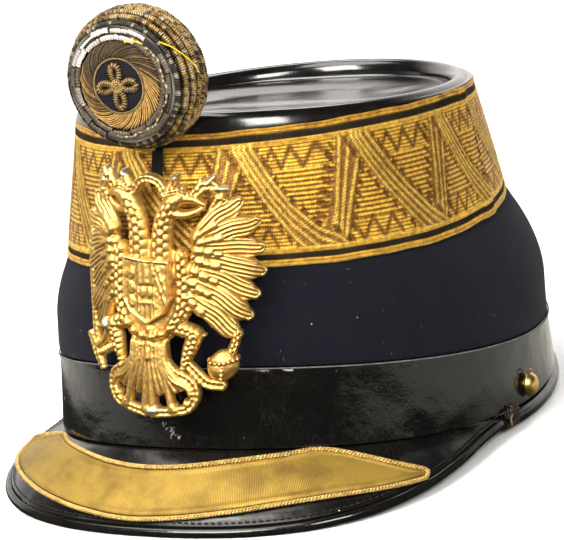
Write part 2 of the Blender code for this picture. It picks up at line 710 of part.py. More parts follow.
def bar_rings(bar, number):
    """A bar's closed outline: flat on the floor, narrower on top and drawn in at its tip."""
    root, tip, radii, heights = np.array(bar.root), np.array(bar.tip), bar.radii, bar.heights
    way = (tip - root) / np.linalg.norm(tip - root)
    side = np.array((-way[1], way[0]))
    floor = BAR_FLOOR_STEP * number
    sections = ((root, radii[0], heights[0]), (tip, radii[1], heights[1]))
    if bar.rounded:
        sections += ((tip + BAR_TIP * radii[1] * way, BAR_TIP_NARROW * radii[1], heights[1]),)
    rings = []
    for point, radius, height in sections:
        foot = radius * side
        ridge = BAR_RIDGE * foot
        corners = ((foot, floor), (-foot, floor), (-ridge, height), (ridge, height))
        rings.append([(*(point + offset), z) for offset, z in corners])
    return rings


def over_the_middle(across, up):
    """The place that answers to another on the wearer's right, where the badge is pressed in and sits higher."""
    level, slant = EAGLE_MIDDLE
    middle = slant * (up - level)
    off = across - middle
    left, drawn_in = off, 0.0
    for width, kept in EAGLE_PRESSED:
        step = min(left, width)
        drawn_in += kept * step
        left -= step
    reach, lift = EAGLE_LIFTED
    return middle - drawn_in, up + lift * min(off, reach)


def mirrored(bar):
    """The same bar on the wearer's right."""
    return bar._replace(root=over_the_middle(*bar.root), tip=over_the_middle(*bar.tip))


def flat_piece(name, points, faces, collection):
    """One closed piece of the badge, in millimetres on the flat, for the union."""
    mesh = bpy.data.meshes.new(name)
    mesh.from_pydata([tuple(p) for p in points], [], faces)
    shaped = bmesh.new()
    shaped.from_mesh(mesh)
    bmesh.ops.recalc_face_normals(shaped, faces=shaped.faces)
    bmesh.ops.triangulate(shaped, faces=shaped.faces)
    shaped.to_mesh(mesh)
    shaped.free()
    piece = bpy.data.objects.new(name, mesh)
    collection.objects.link(piece)
    return piece


def shield_rings():
    """The shield's outline on the floor and its bevelled top."""
    outline = np.array(SHIELD_OUTLINE)
    centre = outline.mean(axis=0)
    inner = centre + (outline - centre) * SHIELD_TAPER
    return [
        [(x, y, SHIELD_FLOOR) for x, y in outline],
        [(x, y, SHIELD_TOP - SHIELD_BEVEL) for x, y in outline],
        [(x, y, SHIELD_TOP) for x, y in inner],
    ]


def lug_rings(across, up, depth):
    """A lug behind the badge."""
    ends = (TurnRow(depth, EAGLE_LUG_RADIUS), TurnRow(EAGLE_LUG_TOP, EAGLE_LUG_RADIUS))
    rings = [ring_of(end, EAGLE_LUG_FACETS) for end in ends]
    return [[(x + across, y + up, z) for x, y, z in ring] for ring in rings]


def bend(point):
    """A point of the flat badge, bent around the front of the hat."""
    across, up, height = point
    radius = EAGLE_BEND + height
    angle = across / EAGLE_BEND
    x, y = radius * math.sin(angle), EAGLE_BEND - radius * math.cos(angle)
    cos, sin = math.cos(EAGLE_TWIST), math.sin(EAGLE_TWIST)
    x, y = x * cos - y * sin, x * sin + y * cos
    foot_x, foot_y, foot_z = EAGLE_FOOT
    rise, back = up * math.cos(EAGLE_LEAN), up * math.sin(EAGLE_LEAN)
    return np.array((foot_x + x, foot_y + back + y, foot_z + rise))


def eagle_badge():
    """The pierced double-headed eagle, its bars and shield cast as one piece."""
    pieces = bpy.data.collections.new("eagle_pieces")
    bars = []
    for bar in EAGLE_BARS:
        bars.append(bar)
        if bar.sides == "both":
            bars.append(mirrored(bar))
    for number, bar in enumerate(bars, start=1):
        rings = bar_rings(bar, number)
        flat_piece(f"bar_{number}", *bridge(rings, closed_way=False), pieces)
    for number, lug in enumerate(EAGLE_LUGS):
        flat_piece(f"lug_{number}", *bridge(lug_rings(*lug), closed_way=False), pieces)
    shield = flat_piece("shield", *bridge(shield_rings(), closed_way=False), bpy.context.collection)
    union = shield.modifiers.new("union", "BOOLEAN")
    union.operation = "UNION"
    union.operand_type = "COLLECTION"
    union.collection = pieces
    union.solver = "EXACT"
    union.use_self = True
    joined = shield.evaluated_get(bpy.context.evaluated_depsgraph_get()).to_mesh()
    points = [bend(vertex.co) for vertex in joined.vertices]
    faces = [tuple(face.vertices) for face in joined.polygons]
    shield.to_mesh_clear()
    for piece in [shield, *pieces.objects]:
        bpy.data.objects.remove(piece)
    bpy.data.collections.remove(pieces)
    return add_object("eagle_badge", points, faces, "gilt_brass", 30.0)


# ---------------------------------------------------------------- the whole hat


def rest(solids):
    """Lean the hat back as it settles, and stand it on the origin with its box centred over it."""
    hat = bpy.data.objects.new("hat", None)
    bpy.context.collection.objects.link(hat)
    lean = Matrix.Rotation(-REST_LEAN, 4, "X")
    corners = np.array(
        [lean @ solid.matrix_local @ vertex.co for solid in solids for vertex in solid.data.vertices]
    )
    low, high = corners.min(axis=0), corners.max(axis=0)
    middle = (low + high) / 2
    hat.matrix_world = Matrix.Translation((-middle[0], -middle[1], -low[2])) @ lean
    for solid in solids:
        solid.parent = hat


def build():
    """Make every piece of the hat."""
    for old in list(bpy.data.objects):
        bpy.data.objects.remove(old)
    solids = [
        wall("crown_shell", SHELL_ROWS, "navy_cloth"),
        wall("base_band", BAND_ROWS, "black_leather"),
        wall("crown_lace", LACE_ROWS, "gold_lace", lace_lap),
        crown_top(),
        peak(),
        peak_binding(),
        edge_roll(),
        peak_lace(),
        peak_lace_cord(),
        *cockade(),
        strap("cockade_stem", STEM_SIZE, STEM_SPAN, GAP, "dull_bullion"),
        strap("cockade_tab", TAB_SIZE, TAB_SPAN, GAP * 2 + STEM_SIZE[1], "black_leather"),
        side_button("side_button_left", 1),
        side_button("side_button_right", -1),
        eagle_badge(),
    ]
    rest(solids)


build()
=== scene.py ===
"""Looks of the officer's shako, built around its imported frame.

The hat is drawn here in its own frame and in millimetres, as its maker measures it: +X is the wearer's
left, -Y the front, +Z up, and the origin is the middle of the hem. A turn is an angle around the body, 0
at the front and growing towards the wearer's left. Standing carries every point into the row's frame.
"""

from __future__ import annotations

import logging
import math
from dataclasses import dataclass, field
from enum import Enum
from typing import Sequence

import bpy
import numpy as np
from mathutils import Matrix, Vector

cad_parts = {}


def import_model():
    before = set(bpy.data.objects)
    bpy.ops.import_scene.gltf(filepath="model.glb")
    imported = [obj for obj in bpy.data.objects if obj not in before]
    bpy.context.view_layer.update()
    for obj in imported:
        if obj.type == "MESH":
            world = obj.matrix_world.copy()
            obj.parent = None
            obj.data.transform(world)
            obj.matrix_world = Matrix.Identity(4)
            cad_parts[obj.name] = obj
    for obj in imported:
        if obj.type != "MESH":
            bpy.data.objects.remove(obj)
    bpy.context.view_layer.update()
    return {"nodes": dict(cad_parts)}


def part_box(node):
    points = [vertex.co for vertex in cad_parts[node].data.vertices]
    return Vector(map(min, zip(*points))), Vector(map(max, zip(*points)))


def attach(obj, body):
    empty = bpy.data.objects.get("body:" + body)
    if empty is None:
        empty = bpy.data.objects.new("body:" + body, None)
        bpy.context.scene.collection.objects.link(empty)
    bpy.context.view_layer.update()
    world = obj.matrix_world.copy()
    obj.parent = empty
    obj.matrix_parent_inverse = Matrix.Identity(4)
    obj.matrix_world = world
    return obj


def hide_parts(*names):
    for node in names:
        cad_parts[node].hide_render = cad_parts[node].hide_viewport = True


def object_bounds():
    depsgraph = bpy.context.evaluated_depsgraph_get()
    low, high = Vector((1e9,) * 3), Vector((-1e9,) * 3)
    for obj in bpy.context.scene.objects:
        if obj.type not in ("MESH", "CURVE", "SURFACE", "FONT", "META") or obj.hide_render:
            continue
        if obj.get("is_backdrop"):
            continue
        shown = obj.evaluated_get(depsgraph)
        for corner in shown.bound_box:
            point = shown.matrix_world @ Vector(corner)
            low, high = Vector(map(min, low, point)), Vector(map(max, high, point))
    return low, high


log = logging.getLogger("shako")

Array = np.ndarray
Rows = tuple[tuple[float, float], ...]
Socket = bpy.types.NodeSocket
MM = 0.001
ROOT = "root"
FULL = 2 * math.pi
ARC_TURNS = np.linspace(-1.25 * FULL, 1.25 * FULL, 2401)


def stacked(*parts: Array) -> Array:
    """Values side by side on a new last axis."""
    return np.stack(np.broadcast_arrays(*(np.asarray(part, float) for part in parts)), axis=-1)


def run_along(path: Array) -> Array:
    """The way along a path to each of its points."""
    return np.concatenate([[0.0], np.cumsum(np.linalg.norm(np.diff(path, axis=0), axis=1))])


def along_path(path: Array, at: Array) -> Array:
    """The points that lie at set ways along a path."""
    run = run_along(path)
    return stacked(*(np.interp(at, run, path[:, k]) for k in range(3)))


# ------------------------------------------------------------------ the form that every piece follows


@dataclass(frozen=True)
class Level:
    """The outside of the hat at one height, an oval that may rise, fall and sag."""

    half_width: float
    half_length: float
    shift: float
    front_z: float
    back_z: float
    sag: float
    back_lift: float


class Step(float, Enum):
    """The named heights of the hat."""

    HEM = 0.0
    BAND_TOP = 1.0
    SWELL = 2.0
    LACE_BOTTOM = 3.0
    LACE_TOP = 4.0
    RIM = 5.0
    PLATE = 6.0


@dataclass(frozen=True)
class HatForm:
    """The hat's outside and the peak's upper face, as formulas over turns."""

    levels: tuple[Level, ...] = (
        Level(87.7, 103.9, 0.0, 0.0, 0.0, -10.7, 0.0),
        Level(86.6, 101.5, 0.8, 27.9, 10.8, -6.3, 7.5),
        Level(86.0, 102.4, 2.0, 38.6, 28.7, -7.9, 0.0),
        Level(75.9, 96.2, -2.5, 61.7, 65.7, -8.6, -9.0),
        Level(68.9, 83.0, -2.8, 105.6, 99.0, 0.7, 0.0),
        Level(66.7, 80.2, -3.5, 112.5, 102.2, -2.2, 0.0),
        Level(57.7, 71.2, -3.5, 105.6, 95.6, 0.0, 0.0),
    )
    egg: float = 0.045
    peak_turns: tuple[float, ...] = (0, 10, 20, 30, 40, 50, 60, 70, 80)
    peak_reach: tuple[float, ...] = (21.8, 22.8, 25.2, 27.3, 26.4, 21.6, 14.2, 6.8, 2.2)
    peak_drop: tuple[float, ...] = (24.1, 23.7, 22.4, 20.0, 16.6, 12.6, 8.6, 5.1, 2.9)
    peak_camber: float = 2.2
    hem_gap: float = 0.3

    def point(self, step: Array, turn: Array, outside: Array = 0.0, above: Array = 0.0) -> Array:
        """A point of the hat's outside.

        Args:
            step: Place between the levels, one array or number.
            turn: Angle around the body in radians.
            outside: Distance out of the level's oval.
            above: Height over the level.

        Returns:
            The points, with x, y and z on the last axis.
        """
        step, turn, outside, above = np.broadcast_arrays(
            *(np.asarray(a, float) for a in (step, turn, outside, above))
        )
        below = np.clip(np.floor(step).astype(int), 0, len(self.levels) - 2)
        part = step - below
        ease = np.where(below == int(Step.SWELL), 1 - np.cos(part * math.pi / 2), part)
        table = np.array([list(vars(level).values()) for level in self.levels])
        low, high = table[below], table[below + 1]
        mix = np.stack([ease] * 3 + [part] * 4, axis=-1)
        width, length, shift, front_z, back_z, sag, lift = np.moveaxis(low + (high - low) * mix, -1, 0)
        back = -np.cos(turn)
        x = (width + outside) * np.sin(turn) * (1 + self.egg * back)
        y = shift + (length + outside) * back
        z = front_z + (back_z - front_z) * (1 + back) / 2 + above
        z = z + sag * (1 - back * back) + lift * np.maximum(back, 0.0) ** 3
        return stacked(x, y, z)

    def outward(self, step: Array, turn: Array) -> Array:
        """The level unit vector out of the hat."""
        ahead = self.point(step, np.asarray(turn) + 1e-4) - self.point(step, np.asarray(turn) - 1e-4)
        normal = stacked(ahead[..., 1], -ahead[..., 0], 0.0)
        return normal / np.linalg.norm(normal, axis=-1, keepdims=True)

    def arc(self, step: float, turn: Array) -> Array:
        """The way around the hat from its front to each turn, in millimetres."""
        run = run_along(self.point(step, ARC_TURNS))
        return np.interp(turn, ARC_TURNS, run - np.interp(0.0, ARC_TURNS, run))

    def turn_at(self, step: float, arc: Array) -> Array:
        """The turn at each way around the hat, the other way of arc."""
        return np.interp(arc, self.arc(step, ARC_TURNS), ARC_TURNS)

    def peak_sizes(self, turn: Array) -> tuple[Array, Array]:
        """How far the peak reaches and drops at each turn, in degrees."""
        reach = smooth_rows(self.peak_turns, self.peak_reach, turn)
        return reach, smooth_rows(self.peak_turns, self.peak_drop, turn)

    def peak_point(self, turn: Array, part: Array, lift: Array = 0.0) -> Array:
        """A point of the peak's upper face.

        Args:
            turn: Turn in degrees.
            part: 0 at the hem and 1 at the peak's edge.
            lift: Distance over the face.

        Returns:
            The points, with x, y and z on the last axis.
        """
        turn, part, lift = np.broadcast_arrays(*(np.asarray(a, float) for a in (turn, part, lift)))
        reach, drop = self.peak_sizes(turn)
        camber = self.peak_camber * reach / self.peak_reach[0]
        out = reach * part
        fall = drop * part - camber * 4 * part * (1 - part)
        rate = drop - camber * 4 * (1 - 2 * part)
        length = np.hypot(reach, rate)
        out = out + lift * rate / length
        fall = fall - lift * reach / length + self.hem_gap
        angle = np.radians(turn)
        points = self.point(Step.HEM, angle) + self.outward(Step.HEM, angle) * out[..., None]
        points[..., 2] -= fall
        return points

    def peak_length(self, turn: Array) -> Array:
        """The way along the peak from hem to edge."""
        return np.hypot(*self.peak_sizes(turn))


def smooth_rows(turns: Sequence[float], values: Sequence[float], at: Array) -> Array:
    """A smooth curve through a table's rows, the same on both sides of the front.

    Args:
        turns: The rows' turns in degrees, from 0 up.
        values: The rows' values.
        at: Turns to read, in degrees.

    Returns:
        The values there.
    """
    t = np.concatenate([[-turns[1]], turns])
    v = np.concatenate([[values[1]], values])
    slopes = np.gradient(v, t)
    x = np.clip(np.abs(at), 0.0, t[-1])
    i = np.clip(np.searchsorted(t, x, side="right") - 1, 0, len(t) - 2)
    span = t[i + 1] - t[i]
    u = (x - t[i]) / span
    return (
        v[i] * (1 + 2 * u) * (1 - u) ** 2
        + slopes[i] * span * u * (1 - u) ** 2
        + v[i + 1] * u * u * (3 - 2 * u)
        - slopes[i + 1] * span * u * u * (1 - u)
    )


@dataclass
class Standing:
    """Where the hat's own frame lies in the row's frame: it leans back on its peak and rolled edge."""

    form: HatForm
    lean: float = math.radians(3.3)
    facets: int = 40
    band_wall: float = 1.5
    shift: Array = field(default_factory=lambda: np.zeros(3))

    def settle(self, low: Vector, high: Vector) -> None:
        """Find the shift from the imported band's box.

        Args:
            low: The band's lowest corner in metres.
            high: Its highest corner.
        """
        turns = np.arange(self.facets) * FULL / self.facets
        steps = np.array([Step.HEM, Step.BAND_TOP, Step.BAND_TOP, Step.HEM])
        outside = np.array([0.0, 0.0, -self.band_wall, -self.band_wall])
        above = np.array([0.3, 0.0, 0.0, 0.3])
        points = self.form.point(steps[:, None], turns[None, :], outside[:, None], above[:, None])
        leaned = points.reshape(-1, 3) @ self.turning().T
        mine = (leaned.min(axis=0) + leaned.max(axis=0)) / 2
        self.shift = (np.array(low) + np.array(high)) / 2 / MM - mine

    def turning(self) -> Array:
        """The lean as a matrix for column vectors."""
        c, s = math.cos(self.lean), math.sin(self.lean)
        return np.array([[1, 0, 0], [0, c, s], [0, -s, c]])

    def world(self, points: Array) -> Array:
        """Points of the hat's frame in the row's frame, in metres."""
        return (np.asarray(points) @ self.turning().T + self.shift) * MM


FORM = HatForm()
STANDING = Standing(FORM)


# ------------------------------------------------------------------ making meshes


def smoothstep(low: float, high: float, x: Array) -> Array:
    """A soft step from 0 at low to 1 at high."""
    t = np.clip((np.asarray(x, float) - low) / (high - low), 0.0, 1.0)
    return t * t * (3 - 2 * t)


def ridge(distance: Array, half: float) -> Array:
    """The height of a round cord, 1 over its middle and 0 from half away on."""
    return np.sqrt(np.clip(1 - (np.asarray(distance) / half) ** 2, 0.0, 1.0))


def unit(vectors: Array) -> Array:
    """Vectors brought to length 1."""
    return vectors / np.maximum(np.linalg.norm(vectors, axis=-1, keepdims=True), 1e-12)


@dataclass
class Maker:
    """Gathers closed sheets of points in the hat's frame and makes them one mesh object."""

    name: str
    points: list = field(default_factory=list)
    faces: list = field(default_factory=list)
    runs: list = field(default_factory=list)
    tints: list = field(default_factory=list)
    kinds: list = field(default_factory=list)
    count: int = 0

    def sheet(
        self,
        points: Array,
        run: Array | None = None,
        round_u: bool = False,
        round_v: bool = False,
        tint: Array | float = 1.0,
        kind: int = 0,
        capped: bool = False,
    ) -> None:
        """Add one grid of points, with its faces turned outwards.

        Args:
            points: Points with u and v on the first two axes. A round axis repeats its first row at its end.
            run: Millimetres along and across at each point, for the patterns.
            round_u: Whether the last row is the first again.
            round_v: Whether the last column is the first again.
            tint: A colour at each point that the finish reads, or one number for all.
            kind: The finish's number on the piece.
            capped: Whether the open ends of u are closed with fans.
        """
        points = np.asarray(points, float)
        nu, nv = points.shape[:2]
        if run is None:
            run = stacked(*np.meshgrid(np.arange(nu), np.arange(nv), indexing="ij"))
        real_u, real_v = nu - int(round_u), nv - int(round_v)
        index = np.arange(real_u * real_v).reshape(real_u, real_v)
        full = index[np.ix_(np.arange(nu) % real_u, np.arange(nv) % real_v)]
        faces, loops = [cells_of(full).reshape(-1, 4)], [cells_of(run).reshape(-1, 4, 2)]
        shade = np.broadcast_to(np.asarray(tint, float), (nu, nv, 3))
        flat, shade = (grid[:real_u, :real_v].reshape(-1, 3) for grid in (points, shade))
        if capped:
            for row, way in ((0, -1), (nu - 1, 1)):
                ring = full[row, :-1]
                flat, shade = (np.vstack([grid, grid[ring].mean(axis=0)]) for grid in (flat, shade))
                fan = np.stack([ring, np.roll(ring, -1), np.full_like(ring, len(flat) - 1)], axis=-1)
                faces.append(fan[:, ::way])
                loops.append(np.broadcast_to(run[row, 0], (len(ring), 3, 2)))
        volume = 0.0
        for group in faces:
            for k in range(1, group.shape[1] - 1):
                a, b, c = (flat[group[:, corner]] for corner in (0, k, k + 1))
                volume += float(np.einsum("ij,ij->i", a, np.cross(b, c)).sum())
        way = -1 if volume < 0 else 1
        for group, laid in zip(faces, loops):
            self.faces.extend((group[:, ::way] + self.count).tolist())
            self.runs.append(laid[:, ::way].reshape(-1, 2))
            self.kinds.extend([kind] * len(group))
        self.points.append(flat)
        self.tints.append(shade)
        self.count += len(flat)

    def tube(
        self,
        path: Array,
        radius: Array | float,
        sides: int = 8,
        closed: bool = False,
        flatten: float = 1.0,
        up: Array = (0.0, 0.0, 1.0),
        tint: Array | float = 1.0,
        kind: int = 0,
    ) -> None:
        """Add a round rope along a path.

        Args:
            path: Its middle points; a closed one doesn't repeat its first point.
            radius: One radius or one for each point.
            sides: Faces around it.
            closed: Whether it joins its own start.
            flatten: Its height as part of its width.
            up: Which way its height points, one vector or one for each point.
            tint: One colour or one for each point of the path.
            kind: The finish's number on the piece.
        """
        path = np.asarray(path, float)
        if closed:
            way = unit(np.roll(path, -1, axis=0) - np.roll(path, 1, axis=0))
        else:
            way = unit(np.gradient(path, axis=0))
        side = unit(np.cross(way, np.broadcast_to(np.asarray(up, float), path.shape)))
        lift = np.cross(side, way)
        radius = np.broadcast_to(np.asarray(radius, float), (len(path),))
        tint = np.broadcast_to(np.asarray(tint, float), (len(path), 3))
        if closed:
            path, side, lift, radius, tint = (
                np.concatenate([a, a[:1]]) for a in (path, side, lift, radius, tint)
            )
        angle = np.linspace(0, FULL, sides + 1)
        ring = side[:, None] * np.cos(angle)[:, None] + flatten * lift[:, None] * np.sin(angle)[:, None]
        points = path[:, None] + ring * radius[:, None, None]
        laid = stacked(run_along(path)[:, None], angle * radius[:, None])
        self.sheet(points, laid, closed, True, np.repeat(tint[:, None], sides + 1, axis=1), kind, not closed)

    def mesh(self, points: Array) -> bpy.types.Mesh:
        """The gathered sheets as a mesh that keeps their run, its points in metres."""
        mesh = bpy.data.meshes.new(self.name)
        mesh.from_pydata(points.tolist(), [], self.faces)
        laid = np.vstack(self.runs).astype(np.float32)
        mesh.uv_layers.new(name="run").uv.foreach_set("vector", laid.ravel())
        return mesh

    def local(self) -> bpy.types.Object:
        """The gathered shape around its own origin, ready to repeat."""
        return linked(self.name, self.mesh(np.vstack(self.points) * MM))

    def make(
        self, finishes: Sequence["Finish"], replaced: Sequence[str] = (), sharp: float = 40.0
    ) -> bpy.types.Object:
        """Make the object, dress it and let it ride on the hat.

        Args:
            finishes: Its finishes, by number.
            replaced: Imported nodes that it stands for.
            sharp: Edges that turn by more than this many degrees stay crisp.

        Returns:
            The new object.
        """
        mesh = self.mesh(STANDING.world(np.vstack(self.points)))
        colours = np.vstack(self.tints)
        colours = np.hstack([colours, np.ones((len(colours), 1))]).astype(np.float32)
        mesh.color_attributes.new("tint", "FLOAT_COLOR", "POINT").data.foreach_set("color", colours.ravel())
        for finish in finishes:
            mesh.materials.append(finish.material())
        mesh.polygons.foreach_set("material_index", self.kinds)
        mesh.shade_smooth()
        mesh.set_sharp_from_angle(angle=math.radians(sharp))
        return placed(self.name, mesh, replaced)


def cells_of(grid: Array) -> Array:
    """The four corners of each cell of a grid, in turn."""
    return np.stack([grid[:-1, :-1], grid[1:, :-1], grid[1:, 1:], grid[:-1, 1:]], axis=2)


def linked(name: str, data: bpy.types.ID | None) -> bpy.types.Object:
    """A new object in the scene."""
    made = bpy.data.objects.new(name, data)
    bpy.context.collection.objects.link(made)
    return made


def placed(name: str, mesh: bpy.types.Mesh, replaced: Sequence[str] = ()) -> bpy.types.Object:
    """Make a finished mesh a piece that rides on the hat.

    Args:
        name: The piece's name.
        mesh: Its mesh, with its place in it.
        replaced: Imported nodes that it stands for.

    Returns:
        The piece.
    """
    mesh.update()
    piece = linked(name, mesh)
    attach(piece, ROOT)
    if replaced:
        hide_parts(*replaced)
    log.info("%s: %d faces", name, len(mesh.polygons))
    return piece


# ------------------------------------------------------------------ node trees


class Graph:
    """A short way to write a node tree."""

    def __init__(self, tree: bpy.types.NodeTree) -> None:
        """Keep the tree to write into."""
        self.tree = tree

    def add(self, kind: str, inputs: dict | None = None, **settings) -> bpy.types.Node:
        """Add a node.

        Args:
            kind: The node's Blender type.
            inputs: Values or sockets for its inputs, by name or number.
            settings: Its properties.

        Returns:
            The node.
        """
        node = self.tree.nodes.new(kind)
        for key, value in settings.items():
            setattr(node, key, value)
        self.fill(node, inputs or {})
        return node

    def fill(self, node: bpy.types.Node, inputs: dict) -> None:
        """Join or set a node's inputs by name or number."""
        for key, value in inputs.items():
            self.feed(node.inputs[key], value)

    def feed(self, socket: Socket, value) -> None:
        """Join a socket to another, or set its value."""
        if isinstance(value, Socket):
            self.tree.links.new(value, socket)
        else:
            socket.default_value = value

    def math(self, operation: str, a, b=0.0, c=0.0, clamp: bool = False) -> Socket:
        """The result of a Math node."""
        return self.add("ShaderNodeMath", {0: a, 1: b, 2: c}, operation=operation, use_clamp=clamp).outputs[0]

    def plus(self, a, b, clamp: bool = False) -> Socket:
        """A sum."""
        return self.math("ADD", a, b, clamp=clamp)

    def minus(self, a, b) -> Socket:
        """A difference."""
        return self.math("SUBTRACT", a, b)

    def times(self, a, b, clamp: bool = False) -> Socket:
        """A product."""
        return self.math("MULTIPLY", a, b, clamp=clamp)

    def mix(self, factor, a, b, blend: str = "MIX") -> Socket:
        """The colour between two colours."""
        node = self.add("ShaderNodeMix", {0: factor, 6: a, 7: b}, data_type="RGBA", blend_type=blend)
        return node.outputs[2]

    def between(
        self, value, low: float, high: float, to_low: float = 0.0, to_high: float = 1.0
    ) -> Socket:
        """A value mapped softly from one span to another and held at its ends."""
        inputs = {0: value, 1: low, 2: high, 3: to_low, 4: to_high}
        return self.add("ShaderNodeMapRange", inputs, interpolation_type="SMOOTHSTEP").outputs[0]

    def noise(self, vector, scale: float, detail: float = 3.0, rough: float = 0.55) -> Socket:
        """A noise value, with scale in waves for each unit of the vector."""
        inputs = {"Vector": vector, "Scale": scale, "Detail": detail, "Roughness": rough}
        return self.add("ShaderNodeTexNoise", inputs).outputs[0]

    def cells(self, vector, scale: float, feature: str = "F1") -> bpy.types.Node:
        """A Voronoi node."""
        return self.add("ShaderNodeTexVoronoi", {"Vector": vector, "Scale": scale}, feature=feature)

    def object_mm(self) -> Socket:
        """The place on the piece in millimetres."""
        return self.scaled(self.add("ShaderNodeTexCoord").outputs["Object"], (1 / MM,) * 3)

    def scaled(self, vector, by: tuple[float, float, float]) -> Socket:
        """A vector multiplied axis by axis."""
        return self.add("ShaderNodeVectorMath", {0: vector, 1: by}, operation="MULTIPLY").outputs[0]

    def finer(self, vector, pitch) -> Socket:
        """A vector counted in pitches."""
        by = self.math("DIVIDE", 1.0, pitch)
        return self.add("ShaderNodeVectorMath", {0: vector, 3: by}, operation="SCALE").outputs[0]

    def run(self) -> Socket:
        """The millimetres along and across the piece, as a vector."""
        return self.add("ShaderNodeUVMap", uv_map="run").outputs[0]

    def split(self, vector) -> bpy.types.NodeOutputs:
        """The three parts of a vector."""
        return self.add("ShaderNodeSeparateXYZ", {0: vector}).outputs

    def tint(self) -> Socket:
        """The colour that the maker gave each point."""
        return self.add("ShaderNodeAttribute", attribute_name="tint").outputs["Color"]

    def bump(self, height, depth_mm: float, normal=None) -> Socket:
        """A normal bent by a height of 0 to 1 over a depth in millimetres."""
        inputs = {"Height": height, "Distance": depth_mm * MM, "Strength": 1.0}
        if normal is not None:
            inputs["Normal"] = normal
        return self.add("ShaderNodeBump", inputs).outputs[0]


def new_group(
    name: str, inputs: dict[str, str], outputs: Sequence[str], kind: str = "ShaderNodeTree"
) -> tuple[Graph, dict, dict]:
    """Start a group of nodes.

    Args:
        name: The group's name.
        inputs: The kind of each input by its name.
        outputs: The names of its outputs: Geometry is one by kind, and the rest are numbers.
        kind: Which tree it is.

    Returns:
        The graph, its inputs by name, and a dictionary of the output sockets to feed.
    """
    tree = bpy.data.node_groups.new(name, kind)
    for label, socket in inputs.items():
        tree.interface.new_socket(name=label, in_out="INPUT", socket_type=f"NodeSocket{socket}")
    for label in outputs:
        socket = "Geometry" if label == "Geometry" else "Float"
        tree.interface.new_socket(name=label, in_out="OUTPUT", socket_type=f"NodeSocket{socket}")
    graph = Graph(tree)
    start, end = graph.add("NodeGroupInput"), graph.add("NodeGroupOutput")
    return graph, {s.name: s for s in start.outputs if s.name}, {s.name: s for s in end.inputs if s.name}


